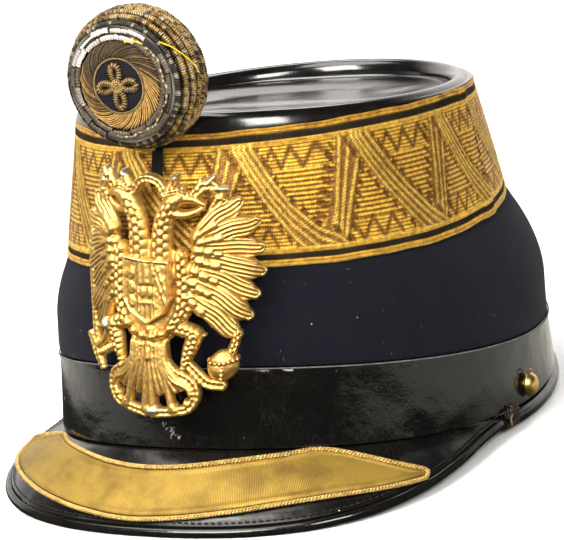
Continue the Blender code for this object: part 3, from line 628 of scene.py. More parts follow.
class Effects:
    """The effects that several finishes share, each a node group made once."""

    made: dict[str, bpy.types.NodeTree] = {}

    @classmethod
    def use(cls, graph: Graph, name: str, inputs: dict) -> bpy.types.NodeOutputs:
        """Place a shared effect in a material.

        Args:
            graph: The material's graph.
            name: The effect's name: grain, scratches, wear, dust, threads or twist.
            inputs: Its values or sockets by name.

        Returns:
            The outputs of the placed group.
        """
        if name not in cls.made:
            cls.made[name] = getattr(cls, name)()
        node = graph.add("ShaderNodeGroup", node_tree=cls.made[name])
        graph.fill(node, inputs)
        return node.outputs

    @staticmethod
    def grain() -> bpy.types.NodeTree:
        """Leather pores and soft unevenness, as a height."""
        graph, ins, outs = new_group("grain", {"Place": "Vector", "Pitch": "Float"}, ["Height"])
        place = graph.finer(ins["Place"], ins["Pitch"])
        pores = graph.cells(place, 1.0, "SMOOTH_F1").outputs["Distance"]
        soft = graph.noise(place, 0.35, 4.0)
        graph.feed(outs["Height"], graph.plus(graph.times(pores, 0.6), soft))
        return graph.tree

    @staticmethod
    def scratches() -> bpy.types.NodeTree:
        """Fine scratches that cross each other, as a mask."""
        graph, ins, outs = new_group("scratches", {"Place": "Vector", "Amount": "Float"}, ["Mask"])
        total = None
        for turn, stretch, shift in ((0.5, 22.0, 3.1), (-0.7, 26.0, 7.7), (1.3, 18.0, 1.9)):
            lie = {
                "Vector": ins["Place"], "Rotation": (turn, turn * 0.6, turn),
                "Location": (shift, -shift, shift)
            }
            turned = graph.add("ShaderNodeMapping", lie).outputs[0]
            drawn = graph.scaled(turned, (1.0, 1.0, 1.0 / stretch))
            cut = graph.cells(drawn, 0.55, "DISTANCE_TO_EDGE").outputs["Distance"]
            line = graph.between(cut, 0.0, 0.035, 1.0, 0.0)
            patch = graph.between(graph.noise(turned, 0.05, 2.0), 0.45, 0.62)
            line = graph.times(line, patch)
            total = line if total is None else graph.math("MAXIMUM", total, line)
        graph.feed(outs["Mask"], graph.times(total, ins["Amount"], clamp=True))
        return graph.tree

    @staticmethod
    def wear() -> bpy.types.NodeTree:
        """Edges rubbed bare, and the hollows, as two masks."""
        graph, ins, outs = new_group("wear", {"Place": "Vector", "Edges": "Float"}, ["Rubbed", "Hollow"])
        point = graph.add("ShaderNodeNewGeometry").outputs["Pointiness"]
        patch = graph.noise(ins["Place"], 0.4, 4.0)
        broken = graph.plus(point, graph.times(graph.minus(patch, 0.5), 0.10))
        rubbed = graph.between(broken, 0.515, 0.60)
        graph.feed(outs["Rubbed"], graph.times(rubbed, ins["Edges"], clamp=True))
        graph.feed(outs["Hollow"], graph.between(point, 0.50, 0.43))
        return graph.tree

    @staticmethod
    def dust() -> bpy.types.NodeTree:
        """Small specks of lint and dust, as a mask."""
        graph, ins, outs = new_group(
            "dust", {"Place": "Vector", "Amount": "Float", "Pitch": "Float"}, ["Mask"]
        )
        speck = graph.cells(graph.finer(ins["Place"], ins["Pitch"]), 1.0)
        size = graph.times(graph.split(speck.outputs["Color"])[0], 0.11)
        inside = graph.math("LESS_THAN", speck.outputs["Distance"], size)
        chosen = graph.math("LESS_THAN", graph.split(speck.outputs["Color"])[1], ins["Amount"])
        graph.feed(outs["Mask"], graph.times(inside, chosen))
        return graph.tree

    @staticmethod
    def threads() -> bpy.types.NodeTree:
        """Crossing threads of a woven cloth, as a height."""
        graph, ins, outs = new_group("threads", {"Run": "Vector", "Pitch": "Float"}, ["Height"])
        part = graph.split(ins["Run"])
        along, across = (
            graph.math("SINE", graph.math("DIVIDE", graph.times(part[k], FULL), ins["Pitch"])) for k in (0, 1)
        )
        graph.feed(outs["Height"], graph.plus(graph.times(graph.times(along, across), 0.25), 0.5))
        return graph.tree

    @staticmethod
    def twist() -> bpy.types.NodeTree:
        """The slanting turns of a wound or twisted cord, as a height."""
        graph, ins, outs = new_group(
            "twist", {"Run": "Vector", "Pitch": "Float", "Slant": "Float"}, ["Height"]
        )
        part = graph.split(ins["Run"])
        way = graph.plus(part[0], graph.times(part[1], ins["Slant"]))
        wave = graph.math("SINE", graph.math("DIVIDE", graph.times(way, FULL), ins["Pitch"]))
        graph.feed(outs["Height"], graph.plus(graph.times(wave, 0.5), 0.5))
        return graph.tree


# ------------------------------------------------------------------ finishes

Colour = tuple[float, float, float]


def rgba(colour: Colour) -> tuple[float, float, float, float]:
    """A colour with its alpha."""
    return (*colour, 1.0)


def times(share: float, colour: Colour) -> Colour:
    """A colour made lighter or darker."""
    return tuple(share * c for c in colour)


@dataclass(frozen=True)
class Finish:
    """What a piece is made of; its material is made once and kept by name."""

    name: str

    def material(self) -> bpy.types.Material:
        """The finish's material."""
        found = bpy.data.materials.get(self.name)
        if found:
            return found
        made = bpy.data.materials.new(self.name)
        made.use_nodes = True
        self.dress(Graph(made.node_tree), made.node_tree.nodes["Principled BSDF"])
        return made

    def dress(self, graph: Graph, shader: bpy.types.Node) -> None:
        """Write the finish's nodes; each kind of finish has its own."""
        raise NotImplementedError


@dataclass(frozen=True)
class Leather(Finish):
    """Blackened leather with pores, soft buckles, fine scratches and specks of dust."""

    colour: Colour = (0.0020, 0.0020, 0.0018)
    brown: Colour = (0.0040, 0.0034, 0.0027)
    bare: Colour = (0.018, 0.015, 0.012)
    scratched: Colour = (0.10, 0.095, 0.088)
    dusty: Colour = (0.42, 0.40, 0.36)
    roughness: float = 0.22
    gloss: float = 0.5
    grain_mm: float = 0.9
    grain_depth: float = 0.03
    buckle_depth: float = 0.35
    scratches: float = 0.5
    dust: float = 0.05
    rubbed: float = 0.25

    def dress(self, graph: Graph, shader: bpy.types.Node) -> None:
        """Write the leather's nodes."""
        place = graph.object_mm()
        grain = Effects.use(graph, "grain", {"Place": place, "Pitch": self.grain_mm})["Height"]
        marks = Effects.use(graph, "scratches", {"Place": place, "Amount": self.scratches})["Mask"]
        wear = Effects.use(graph, "wear", {"Place": place, "Edges": self.rubbed})
        specks = Effects.use(graph, "dust", {"Place": place, "Amount": self.dust, "Pitch": 5.0})["Mask"]
        cloudy = graph.noise(place, 0.07, 3.0)
        tone = graph.mix(graph.between(cloudy, 0.35, 0.75), rgba(self.colour), rgba(self.brown))
        tone = graph.mix(wear["Rubbed"], tone, rgba(self.bare))
        tone = graph.mix(graph.times(marks, 0.30), tone, rgba(self.scratched))
        rough = graph.plus(self.roughness, graph.times(graph.minus(cloudy, 0.5), 0.12))
        rough = graph.plus(rough, graph.times(marks, 0.14))
        bent = graph.bump(graph.noise(place, 0.11, 2.0, 0.4), self.buckle_depth)
        bent = graph.bump(grain, self.grain_depth, bent)
        graph.fill(shader, {
            "Base Color": graph.mix(specks, tone, rgba(self.dusty)),
            "Roughness": graph.plus(rough, graph.times(specks, 0.5), clamp=True),
            "Specular IOR Level": self.gloss,
            "Normal": graph.bump(graph.minus(1.0, marks), 0.02, bent),
        })


@dataclass(frozen=True)
class Broadcloth(Finish):
    """Fulled wool cloth, nearly black, with a short nap and lint caught in it."""

    colour: Colour = (0.0022, 0.0024, 0.0062)
    faded: Colour = (0.0040, 0.0042, 0.0080)
    nap: Colour = (0.0085, 0.0085, 0.0120)
    caught: Colour = (0.35, 0.34, 0.32)
    lint: float = 0.05

    def dress(self, graph: Graph, shader: bpy.types.Node) -> None:
        """Write the cloth's nodes."""
        place = graph.object_mm()
        nap = graph.noise(place, 1.6, 5.0, 0.7)
        weave = Effects.use(graph, "threads", {"Run": graph.run(), "Pitch": 0.7})["Height"]
        specks = Effects.use(graph, "dust", {"Place": place, "Amount": self.lint, "Pitch": 3.0})["Mask"]
        faded = graph.noise(place, 0.04, 2.0)
        tone = graph.mix(graph.between(faded, 0.3, 0.8), rgba(self.colour), rgba(self.faded))
        tone = graph.mix(graph.between(nap, 0.45, 0.8), tone, rgba(self.nap))
        graph.fill(shader, {
            "Base Color": graph.mix(specks, tone, rgba(self.caught)),
            "Roughness": graph.between(nap, 0.2, 0.9, 0.85, 1.0),
            "Sheen Weight": 0.05,
            "Sheen Roughness": 0.5,
            "Sheen Tint": rgba((0.5, 0.52, 0.6)),
            "Specular IOR Level": 0.12,
            "Normal": graph.bump(nap, 0.25, graph.bump(weave, 0.06)),
        })


@dataclass(frozen=True)
class Gilt(Finish):
    """Gilt brass, dark in its hollows, rubbed pale where it stands out, with bare white metal on its tips."""

    colour: Colour = (0.80, 0.505, 0.145)
    dark: Colour = (0.30, 0.155, 0.040)
    pale: Colour = (0.96, 0.77, 0.38)
    bare: Colour = (0.52, 0.47, 0.36)
    roughness: float = 0.46
    rubbed: float = 0.8

    def dress(self, graph: Graph, shader: bpy.types.Node) -> None:
        """Write the gilding's nodes; the red of the tint is the bare metal."""
        place = graph.object_mm()
        wear = Effects.use(graph, "wear", {"Place": place, "Edges": self.rubbed})
        patch = graph.noise(place, 0.30, 5.0, 0.6)
        fine = graph.noise(place, 2.6, 3.0)
        tone = graph.mix(graph.between(patch, 0.35, 0.7), rgba(self.colour), rgba(times(0.74, self.colour)))
        tone = graph.mix(wear["Rubbed"], tone, rgba(self.pale))
        tone = graph.mix(wear["Hollow"], tone, rgba(self.dark))
        ragged = graph.minus(graph.split(graph.tint())[0], graph.times(fine, 0.5))
        rough = graph.plus(self.roughness, graph.times(graph.minus(patch, 0.5), 0.3))
        graph.fill(shader, {
            "Base Color": graph.mix(graph.between(ragged, 0.15, 0.5), tone, rgba(self.bare)),
            "Metallic": 1.0,
            "Roughness": graph.plus(rough, graph.times(wear["Hollow"], 0.2), clamp=True),
            "Normal": graph.bump(fine, 0.05),
        })


@dataclass(frozen=True)
class Thread(Finish):
    """Gilt or silk thread in the tints given to its points, wound or twisted along its run, with painted
    shade in the grooves between its turns.
    """

    colour: Colour = (1.0, 1.0, 1.0)
    dull: Colour = (0.16, 0.10, 0.04)
    metallic: float = 0.7
    roughness: float = 0.42
    gloss: float = 0.25
    pitch: float = 0.6
    slant: float = 0.8
    depth: float = 0.12
    cloud: float = 0.5

    def dress(self, graph: Graph, shader: bpy.types.Node) -> None:
        """Write the thread's nodes."""
        place = graph.object_mm()
        turns = {"Run": graph.run(), "Pitch": self.pitch, "Slant": self.slant}
        turns = Effects.use(graph, "twist", turns)["Height"]
        patch = graph.noise(place, self.cloud, 4.0, 0.65)
        fibre = graph.noise(place, 4.0, 2.0)
        tone = graph.mix(graph.between(patch, 0.35, 0.68), rgba(self.colour), rgba(self.dull))
        # painted shade: the grooves between the turns are painted darker
        tone = graph.mix(graph.between(turns, 0.35, 0.0, 0.0, 0.75), tone, rgba(times(0.3, self.dull)))
        graph.fill(shader, {
            "Base Color": graph.mix(1.0, tone, graph.tint(), "MULTIPLY"),
            "Metallic": self.metallic,
            "Specular IOR Level": self.gloss,
            "Roughness": graph.between(fibre, 0.2, 0.8, self.roughness - 0.1, self.roughness + 0.15),
            "Normal": graph.bump(fibre, 0.03, graph.bump(turns, self.depth)),
        })


BAND_LEATHER = Leather(
    "band_leather", roughness=0.12, gloss=0.45, grain_depth=0.05, scratches=0.25,
)
PEAK_LEATHER = Leather("peak_leather", roughness=0.24, scratches=0.3)
ROLLED_LEATHER = Leather(
    "rolled_leather", roughness=0.16, gloss=0.6, buckle_depth=0.2, scratches=0.2, dust=0.03, rubbed=0.5,
)
TOP_LEATHER = Leather(
    "top_leather", roughness=0.15, gloss=0.9, buckle_depth=0.12, grain_depth=0.006, scratches=0.15,
)
CLOTH = Broadcloth("broadcloth")
VELVET = Broadcloth("short_pile", colour=(0.008, 0.008, 0.009))
EAGLE_GILT = Gilt("eagle_gilt")
BUTTON_GILT = Gilt(
    "button_gilt", colour=(0.80, 0.54, 0.18), dark=(0.14, 0.07, 0.02), roughness=0.32, rubbed=0.4,
)
LACE_THREAD = Thread(
    "lace_thread", dull=(0.72, 0.66, 0.58), metallic=0.6, roughness=0.4, pitch=0.55, slant=0.0, depth=0.06,
)
EDGE_THREAD = Thread("edge_thread", dull=(0.5, 0.42, 0.32), metallic=0.6, pitch=0.8, slant=0.7)
SILK = Thread(
    "silk", dull=(0.7, 0.7, 0.7), metallic=0.0, roughness=0.7, gloss=0.1, pitch=0.86, slant=0.0, depth=0.05,
)
CORD_THREAD = Thread("cord_thread", colour=(0.90, 0.62, 0.20), dull=(0.50, 0.32, 0.10), roughness=0.38)
PEAK_CLOTH = Thread(
    "peak_cloth", colour=(0.37, 0.24, 0.042), dull=(0.22, 0.135, 0.026), metallic=0.55, roughness=0.5,
    pitch=0.5, slant=0.0, depth=0.05, cloud=0.07,
)
WOUND = Thread(
    "wound_wire", dull=(0.62, 0.55, 0.46), metallic=0.55, roughness=0.38, pitch=0.9, depth=0.0,
)
LOOSE = Thread("loose_thread", dull=(0.8, 0.74, 0.66), metallic=0.1, roughness=0.5, depth=0.02)
WOUND_DARK = Thread(
    "wound_core", colour=(0.030, 0.022, 0.016), dull=(0.012, 0.010, 0.008), metallic=0.1, roughness=0.7,
    pitch=0.7, slant=0.0,
)
RAY = Thread(
    "wreath_wire", dull=(0.60, 0.54, 0.46), metallic=0.6, roughness=0.36, pitch=0.55, slant=0.35, depth=0.14,
)
SPANGLE = Thread(
    "pearly_strip", dull=(0.62, 0.58, 0.54), metallic=0.35, roughness=0.34, pitch=3.0, slant=0.0, depth=0.05,
)
STITCH = Thread(
    "stitch", colour=(0.030, 0.026, 0.022), dull=(0.012, 0.011, 0.010), metallic=0.0, roughness=0.6,
    pitch=0.4, depth=0.02,
)
LINT = Thread(
    "lint", colour=(0.34, 0.33, 0.32), dull=(0.18, 0.17, 0.16), metallic=0.0, roughness=0.9, depth=0.0,
)


# ------------------------------------------------------------------ what repeats


@dataclass(frozen=True)
class Variety:
    """How much the copies of one shape differ from each other."""

    jitter: tuple[float, float, float]
    sizes: tuple[float, float]
    seed: int
    # bright and dull are the ends of the painted light that lit sets for each copy, with chance added
    bright: Colour = (1.0, 1.0, 1.0)
    dull: Colour = (1.0, 1.0, 1.0)

    def inputs(self) -> dict:
        """The values for the tree's inputs."""
        return {
            "Jitter": self.jitter, "Size Low": self.sizes[0], "Size High": self.sizes[1], "Seed": self.seed,
            "Bright": rgba(self.bright), "Dull": rgba(self.dull),
        }


class Repeats:
    """One shape set on bare points by Geometry Nodes, each copy a little different."""

    TREE = "repeated_shapes"

    @classmethod
    def tree(cls) -> bpy.types.NodeTree:
        """The tree, written once: it reads spin, each point's turning, and lit, the painted light that sets
        how bright its copy is.
        """
        found = bpy.data.node_groups.get(cls.TREE)
        if found:
            return found
        kinds = {
            "Geometry": "Geometry", "Shape": "Object", "Jitter": "Vector", "Size Low": "Float",
            "Size High": "Float", "Bright": "Color", "Dull": "Color", "Seed": "Int", "Material": "Material",
        }
        graph, ins, outs = new_group(cls.TREE, kinds, ["Geometry"], "GeometryNodeTree")

        def random(kind: str, low, high) -> Socket:
            """A random value for each copy."""
            first, out = (0, 0) if kind == "FLOAT_VECTOR" else (2, 1)
            inputs = {first: low, first + 1: high, "Seed": ins["Seed"]}
            return graph.add("FunctionNodeRandomValue", inputs, data_type=kind).outputs[out]

        def stored(name: str, kind: str) -> Socket:
            """A value that the points carry."""
            return graph.add("GeometryNodeInputNamedAttribute", {"Name": name}, data_type=kind).outputs[0]

        jitter = random("FLOAT_VECTOR", graph.scaled(ins["Jitter"], (-1.0,) * 3), ins["Jitter"])
        spin = graph.add(
            "ShaderNodeVectorMath", {0: stored("spin", "FLOAT_VECTOR"), 1: jitter}, operation="ADD"
        ).outputs[0]
        shape = graph.add("GeometryNodeObjectInfo", {"Object": ins["Shape"]}).outputs["Geometry"]
        copies = graph.add("GeometryNodeInstanceOnPoints", {
            "Points": ins["Geometry"], "Instance": shape, "Rotation": spin,
            "Scale": random("FLOAT", ins["Size Low"], ins["Size High"]),
        }).outputs[0]
        # painted light: each copy's colour runs from Dull to Bright by its lit value and chance
        share = graph.plus(stored("lit", "FLOAT"), random("FLOAT", -0.6, 0.6), clamp=True)
        tinted = graph.add(
            "GeometryNodeStoreNamedAttribute",
            {"Geometry": copies, "Name": "tint", "Value": graph.mix(share, ins["Dull"], ins["Bright"])},
            data_type="FLOAT_COLOR", domain="INSTANCE",
        ).outputs[0]
        real = graph.add("GeometryNodeRealizeInstances", {"Geometry": tinted}).outputs[0]
        dressed = graph.add("GeometryNodeSetMaterial", {"Geometry": real, "Material": ins["Material"]})
        graph.feed(outs["Geometry"], dressed.outputs[0])
        return graph.tree

    @classmethod
    def mesh(
        cls, name: str, shape: bpy.types.Object, places: Array, spins: Array, lit: Array, variety: Variety,
        finish: Finish,
    ) -> bpy.types.Mesh:
        """Set a shape on every place and keep the result.

        Args:
            name: The mesh's name.
            shape: The shape, which is used up.
            places: Where each copy lies, in metres.
            spins: Its turning in radians about x, y and z.
            lit: How bright it is, before chance.
            variety: How much the copies differ.
            finish: What they are made of.

        Returns:
            The plain mesh.
        """
        points = bpy.data.meshes.new(f"{name}_places")
        points.from_pydata(np.asarray(places).tolist(), [], [])
        spins, lit = (np.asarray(values, np.float32).ravel() for values in (spins, lit))
        points.attributes.new("spin", "FLOAT_VECTOR", "POINT").data.foreach_set("vector", spins)
        points.attributes.new("lit", "FLOAT", "POINT").data.foreach_set("value", lit)
        carrier = linked(points.name, points)
        modifier = carrier.modifiers.new("repeat", "NODES")
        modifier.node_group = cls.tree()
        items = cls.tree().interface.items_tree
        sockets = {item.name: item.identifier for item in items if item.in_out == "INPUT"}
        for key, value in {**variety.inputs(), "Shape": shape, "Material": finish.material()}.items():
            modifier[sockets[key]] = value
        carrier.update_tag()
        seen = bpy.context.evaluated_depsgraph_get()
        made = bpy.data.meshes.new_from_object(carrier.evaluated_get(seen), depsgraph=seen)
        made.name = name
        made.shade_smooth()
        carrier.modifiers.remove(modifier)
        for spent in (carrier, shape):
            bpy.data.objects.remove(spent)
        return made


# ------------------------------------------------------------------ the body


@dataclass(frozen=True)
class Ripple:
    """A soft uneven height over the hat: waves in set directions from a fixed seed."""

    seed: int
    wave_mm: float
    count: int = 14
    stretch: tuple[float, float, float] = (1.0, 1.0, 1.0)

    def at(self, points: Array) -> Array:
        """The height at points in millimetres, about -1 to 1."""
        rng = np.random.default_rng(self.seed)
        ways = unit(rng.normal(size=(self.count, 3))) * np.array(self.stretch)
        sizes = FULL / (self.wave_mm * rng.uniform(0.6, 1.6, self.count))
        phases = rng.uniform(0, FULL, self.count)
        height = np.zeros(points.shape[:-1])
        for way, size, phase in zip(ways, sizes, phases):
            height += np.cos(points @ (way * size) + phase)
        return height / math.sqrt(self.count) / 1.4


Row = tuple[float, float, float]
SIDE_TURN = 1.5


def finer(rows: Sequence[Row], longest: float) -> Array:
    """Rows of step, outside and above, with more rows put between those that lie far apart.

    Args:
        rows: The profile's corners.
        longest: The longest way left between two rows, in millimetres at the hat's side.

    Returns:
        The rows as an array.
    """
    out = [np.array(rows[0], float)]
    for a, b in zip(rows, rows[1:]):
        a, b = np.array(a, float), np.array(b, float)
        way = FORM.point(b[0], SIDE_TURN, b[1], b[2]) - FORM.point(a[0], SIDE_TURN, a[1], a[2])
        count = max(math.ceil(float(np.linalg.norm(way)) / longest), 1)
        out.extend(a + (b - a) * k / count for k in range(1, count + 1))
    return np.array(out)


def wall_grid(rows: Array, turns: Array) -> tuple[Array, Array]:
    """Points of a wall around the hat and their run.

    Args:
        rows: Rows of step, outside and above.
        turns: Turns in radians, the last one a full turn after the first.

    Returns:
        The points and the millimetres around and up, with rows first and turns second.
    """
    points = FORM.point(rows[:, None, 0], turns[None, :], rows[:, None, 1], rows[:, None, 2])
    up = run_along(points[:, len(turns) // 4])
    return points, stacked(FORM.arc(float(Step.LACE_BOTTOM), turns), up[:, None])


@dataclass
class Body:
    """The cloth body and the leather band around its foot."""

    around: int = 280
    wall: float = 2.0
    band_wall: float = 1.5
    under_lace: float = -1.8
    band_buckle: Ripple = Ripple(11, 26.0)
    cloth_buckle: Ripple = Ripple(12, 34.0)

    def walled(
        self, name: str, rows: Array, buckle: Ripple, seen: Array, finish: Finish, node: str
    ) -> bpy.types.Object:
        """Make a wall around the hat.

        Args:
            name: Its name.
            rows: Its closed profile, as rows of step, outside and above.
            buckle: How its surface is uneven.
            seen: The height of that unevenness at each row, in millimetres.
            finish: What it is made of.
            node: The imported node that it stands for.

        Returns:
            The piece.
        """
        turns = np.linspace(0, FULL, self.around + 1)
        points, run = wall_grid(rows, turns)
        lift = buckle.at(points) * seen[:, None]
        maker = Maker(name)
        points = points + FORM.outward(rows[:, None, 0], turns[None, :]) * lift[..., None]
        maker.sheet(points, run, round_u=True, round_v=True)
        return maker.make([finish], [node])

    def cloth(self) -> bpy.types.Object:
        """The cloth body, drawn full over the band and pulled in under the lace."""
        rows = finer(
            [
                (0.0, -1.8, 0.2), (1.0, -1.8, 0.2), (1.0, -0.35, 0.7), (1.12, -0.05, 0.5), (1.4, 0.0, 0.2),
                (2.0, 0.0, 0.0), (2.7, 0.0, 0.0), (2.93, -0.2, 0.0), (3.0, -0.9, 0.0),
                (3.05, self.under_lace, 0.0), (4.0, self.under_lace, 0.0),
                (4.0, self.under_lace - self.wall, 0.0),
                (3.0, self.under_lace - self.wall, 0.0), (2.5, -self.wall, 0.0), (1.0, -self.wall - 1.0, 2.0),
                (0.0, -1.8 - self.wall, 0.2), (0.0, -1.8, 0.2),
            ],
            2.5,
        )
        step, outside = rows[:, 0], rows[:, 1]
        seen = 0.35 * smoothstep(1.0, 1.4, step) * smoothstep(3.0, 2.8, step) * (outside > -1.0)
        return self.walled("cloth_body", rows, self.cloth_buckle, seen, CLOTH, "crown_shell")

    def band(self) -> bpy.types.Object:
        """The glossy band, with rounded edges."""
        edge = 0.35
        rows = finer(
            [
                (0.0, -edge, 0.3), (0.0, 0.0, 0.3 + edge), (1.0, 0.0, -edge), (1.0, -edge, 0.0),
                (1.0, -self.band_wall, 0.0), (0.0, -self.band_wall, 0.3), (0.0, -edge, 0.3),
            ],
            1.6,
        )
        step, outside = rows[:, 0], rows[:, 1]
        seen = 0.22 * (outside > -0.1) * smoothstep(0.0, 0.15, step) * smoothstep(1.0, 0.85, step)
        return self.walled("band", rows, self.band_buckle, seen, BAND_LEATHER, "base_band")

    def build(self) -> None:
        """Make both."""
        self.cloth()
        self.band()


@dataclass
class Top:
    """The sunk patent-leather top and its rolled rim."""

    around: int = 280
    buckle: Ripple = Ripple(21, 30.0)

    def build(self) -> bpy.types.Object:
        """Make the top from the middle of its upper face over the rim to the middle of its under face."""
        turns = np.linspace(0, FULL, self.around + 1)
        upper = finer(
            [
                (6.0, 0.0, 0.8), (5.55, -2.8, -1.3), (5.0, -6.0, -5.2), (5.0, -5.6, -2.8), (5.0, -4.6, -1.1),
                (5.0, -3.4, -0.25), (5.0, -2.2, 0.0), (5.0, -1.0, -0.2), (5.0, 0.0, -0.8), (5.0, 0.6, -1.6),
                (4.5, 0.45, -0.5), (4.0, -0.2, 0.3), (4.0, -0.7, 0.1), (4.0, -4.1, 0.3), (4.0, -4.1, -4.2),
                (6.0, -0.3, -3.3),
            ],
            1.5,
        )
        points = FORM.point(upper[:, None, 0], turns[None, :], upper[:, None, 1], upper[:, None, 2])
        parts = np.linspace(0.04, 1.0, 40)[:-1]
        plates = []
        for ring in (points[0], points[-1]):
            middle = ring[:-1].mean(axis=0)
            plates.append(middle + (ring - middle) * parts[:, None, None])
        dish = -2.4 * smoothstep(1.0, 0.62, parts)[:, None]
        lift = dish + 0.16 * self.buckle.at(plates[0]) * smoothstep(1.0, 0.8, parts)[:, None]
        plates[0] = plates[0] + np.array([0.0, 0.0, 1.0]) * lift[..., None]
        points = np.concatenate([plates[0], points, plates[1][::-1]])
        maker = Maker("top")
        maker.sheet(points, points[..., :2], round_v=True, capped=True)
        return maker.make([TOP_LEATHER], ["crown_top"])


# ------------------------------------------------------------------ the peak and its trim


@dataclass
class Peak:
    """The leather peak, its rolled edge, and the rolled edge that runs on around the back."""

    steps: int = 170
    across: int = 26
    wall: float = 2.0
    root: float = 4.6
    binding: float = 1.7
    leather_end: float = 77.4
    binding_end: float = 79.9
    roll: float = 3.1
    roll_start: float = 78.5
    roll_inside: float = 1.5
    buckle: Ripple = Ripple(31, 30.0)

    def leather(self) -> bpy.types.Object:
        """The peak itself."""
        turns = np.linspace(-self.leather_end, self.leather_end, self.steps + 1)
        edge = 1.0 - (2 * self.binding + 0.1) / FORM.peak_length(turns)
        parts = np.linspace(0, 1, self.across)
        part = parts * edge[:, None]
        inside = (1 - parts) * edge[:, None] * FORM.peak_length(turns)[:, None]
        groove = -0.28 * np.exp(-(((inside - 1.1) / 0.35) ** 2))
        uneven = 0.35 * self.buckle.at(FORM.peak_point(turns[:, None], part, 0.0))
        lift = groove + uneven * smoothstep(0, 0.15, parts) * smoothstep(0, 3, inside)
        upper = FORM.peak_point(turns[:, None], part, lift)
        lower = FORM.peak_point(turns[:, None], part, -self.wall)
        angle = np.radians(turns)
        lower[:, 0] = FORM.point(0.0, angle, 0.0, -FORM.hem_gap - self.wall - 0.4)
        root = FORM.point(0.0, angle, -self.root, -FORM.hem_gap)
        root_lower = FORM.point(0.0, angle, -self.root, -FORM.hem_gap - self.wall)
        points = np.concatenate(
            [root[:, None], upper, lower[:, ::-1], root_lower[:, None], root[:, None]], axis=1
        )
        run = stacked(FORM.arc(0.0, angle)[:, None], run_along(points[len(turns) // 2]))
        maker = Maker("peak_leather")
        maker.sheet(points, run, round_v=True, capped=True)
        return maker.make([PEAK_LEATHER], ["peak"])

    def rolled_edge(self) -> bpy.types.Object:
        """The rolled edge around the peak."""
        turns = np.linspace(-self.binding_end, self.binding_end, self.steps + 1)
        path = FORM.peak_point(turns, 1.0 - self.binding / FORM.peak_length(turns), -self.wall / 2)
        maker = Maker("peak_rolled_edge")
        ends = np.minimum(1.0, np.sqrt(np.clip((self.binding_end - np.abs(turns)) / 1.2 + 0.1, 0, 1)))
        maker.tube(path, self.binding * ends, sides=16)
        return maker.make([ROLLED_LEATHER], ["peak_binding"], sharp=60)

    def back_roll(self) -> bpy.types.Object:
        """The rolled edge under the band, from corner to corner around the back."""
        turns = np.radians(np.linspace(self.roll_start, 360 - self.roll_start, 2 * self.steps + 1))
        path = FORM.point(0.0, turns, -self.roll_inside, -FORM.hem_gap - self.roll)
        thick = self.roll * math.cos(math.pi / 8)
        near = np.minimum(turns - turns[0], turns[-1] - turns) / 0.05
        maker = Maker("back_rolled_edge")
        maker.tube(path, thick * np.sqrt(np.clip(near + 0.15, 0, 1)), sides=20)
        return maker.make([ROLLED_LEATHER], ["edge_roll"], sharp=60)

    def build(self) -> None:
        """Make all three."""
        self.leather()
        self.rolled_edge()
        self.back_roll()


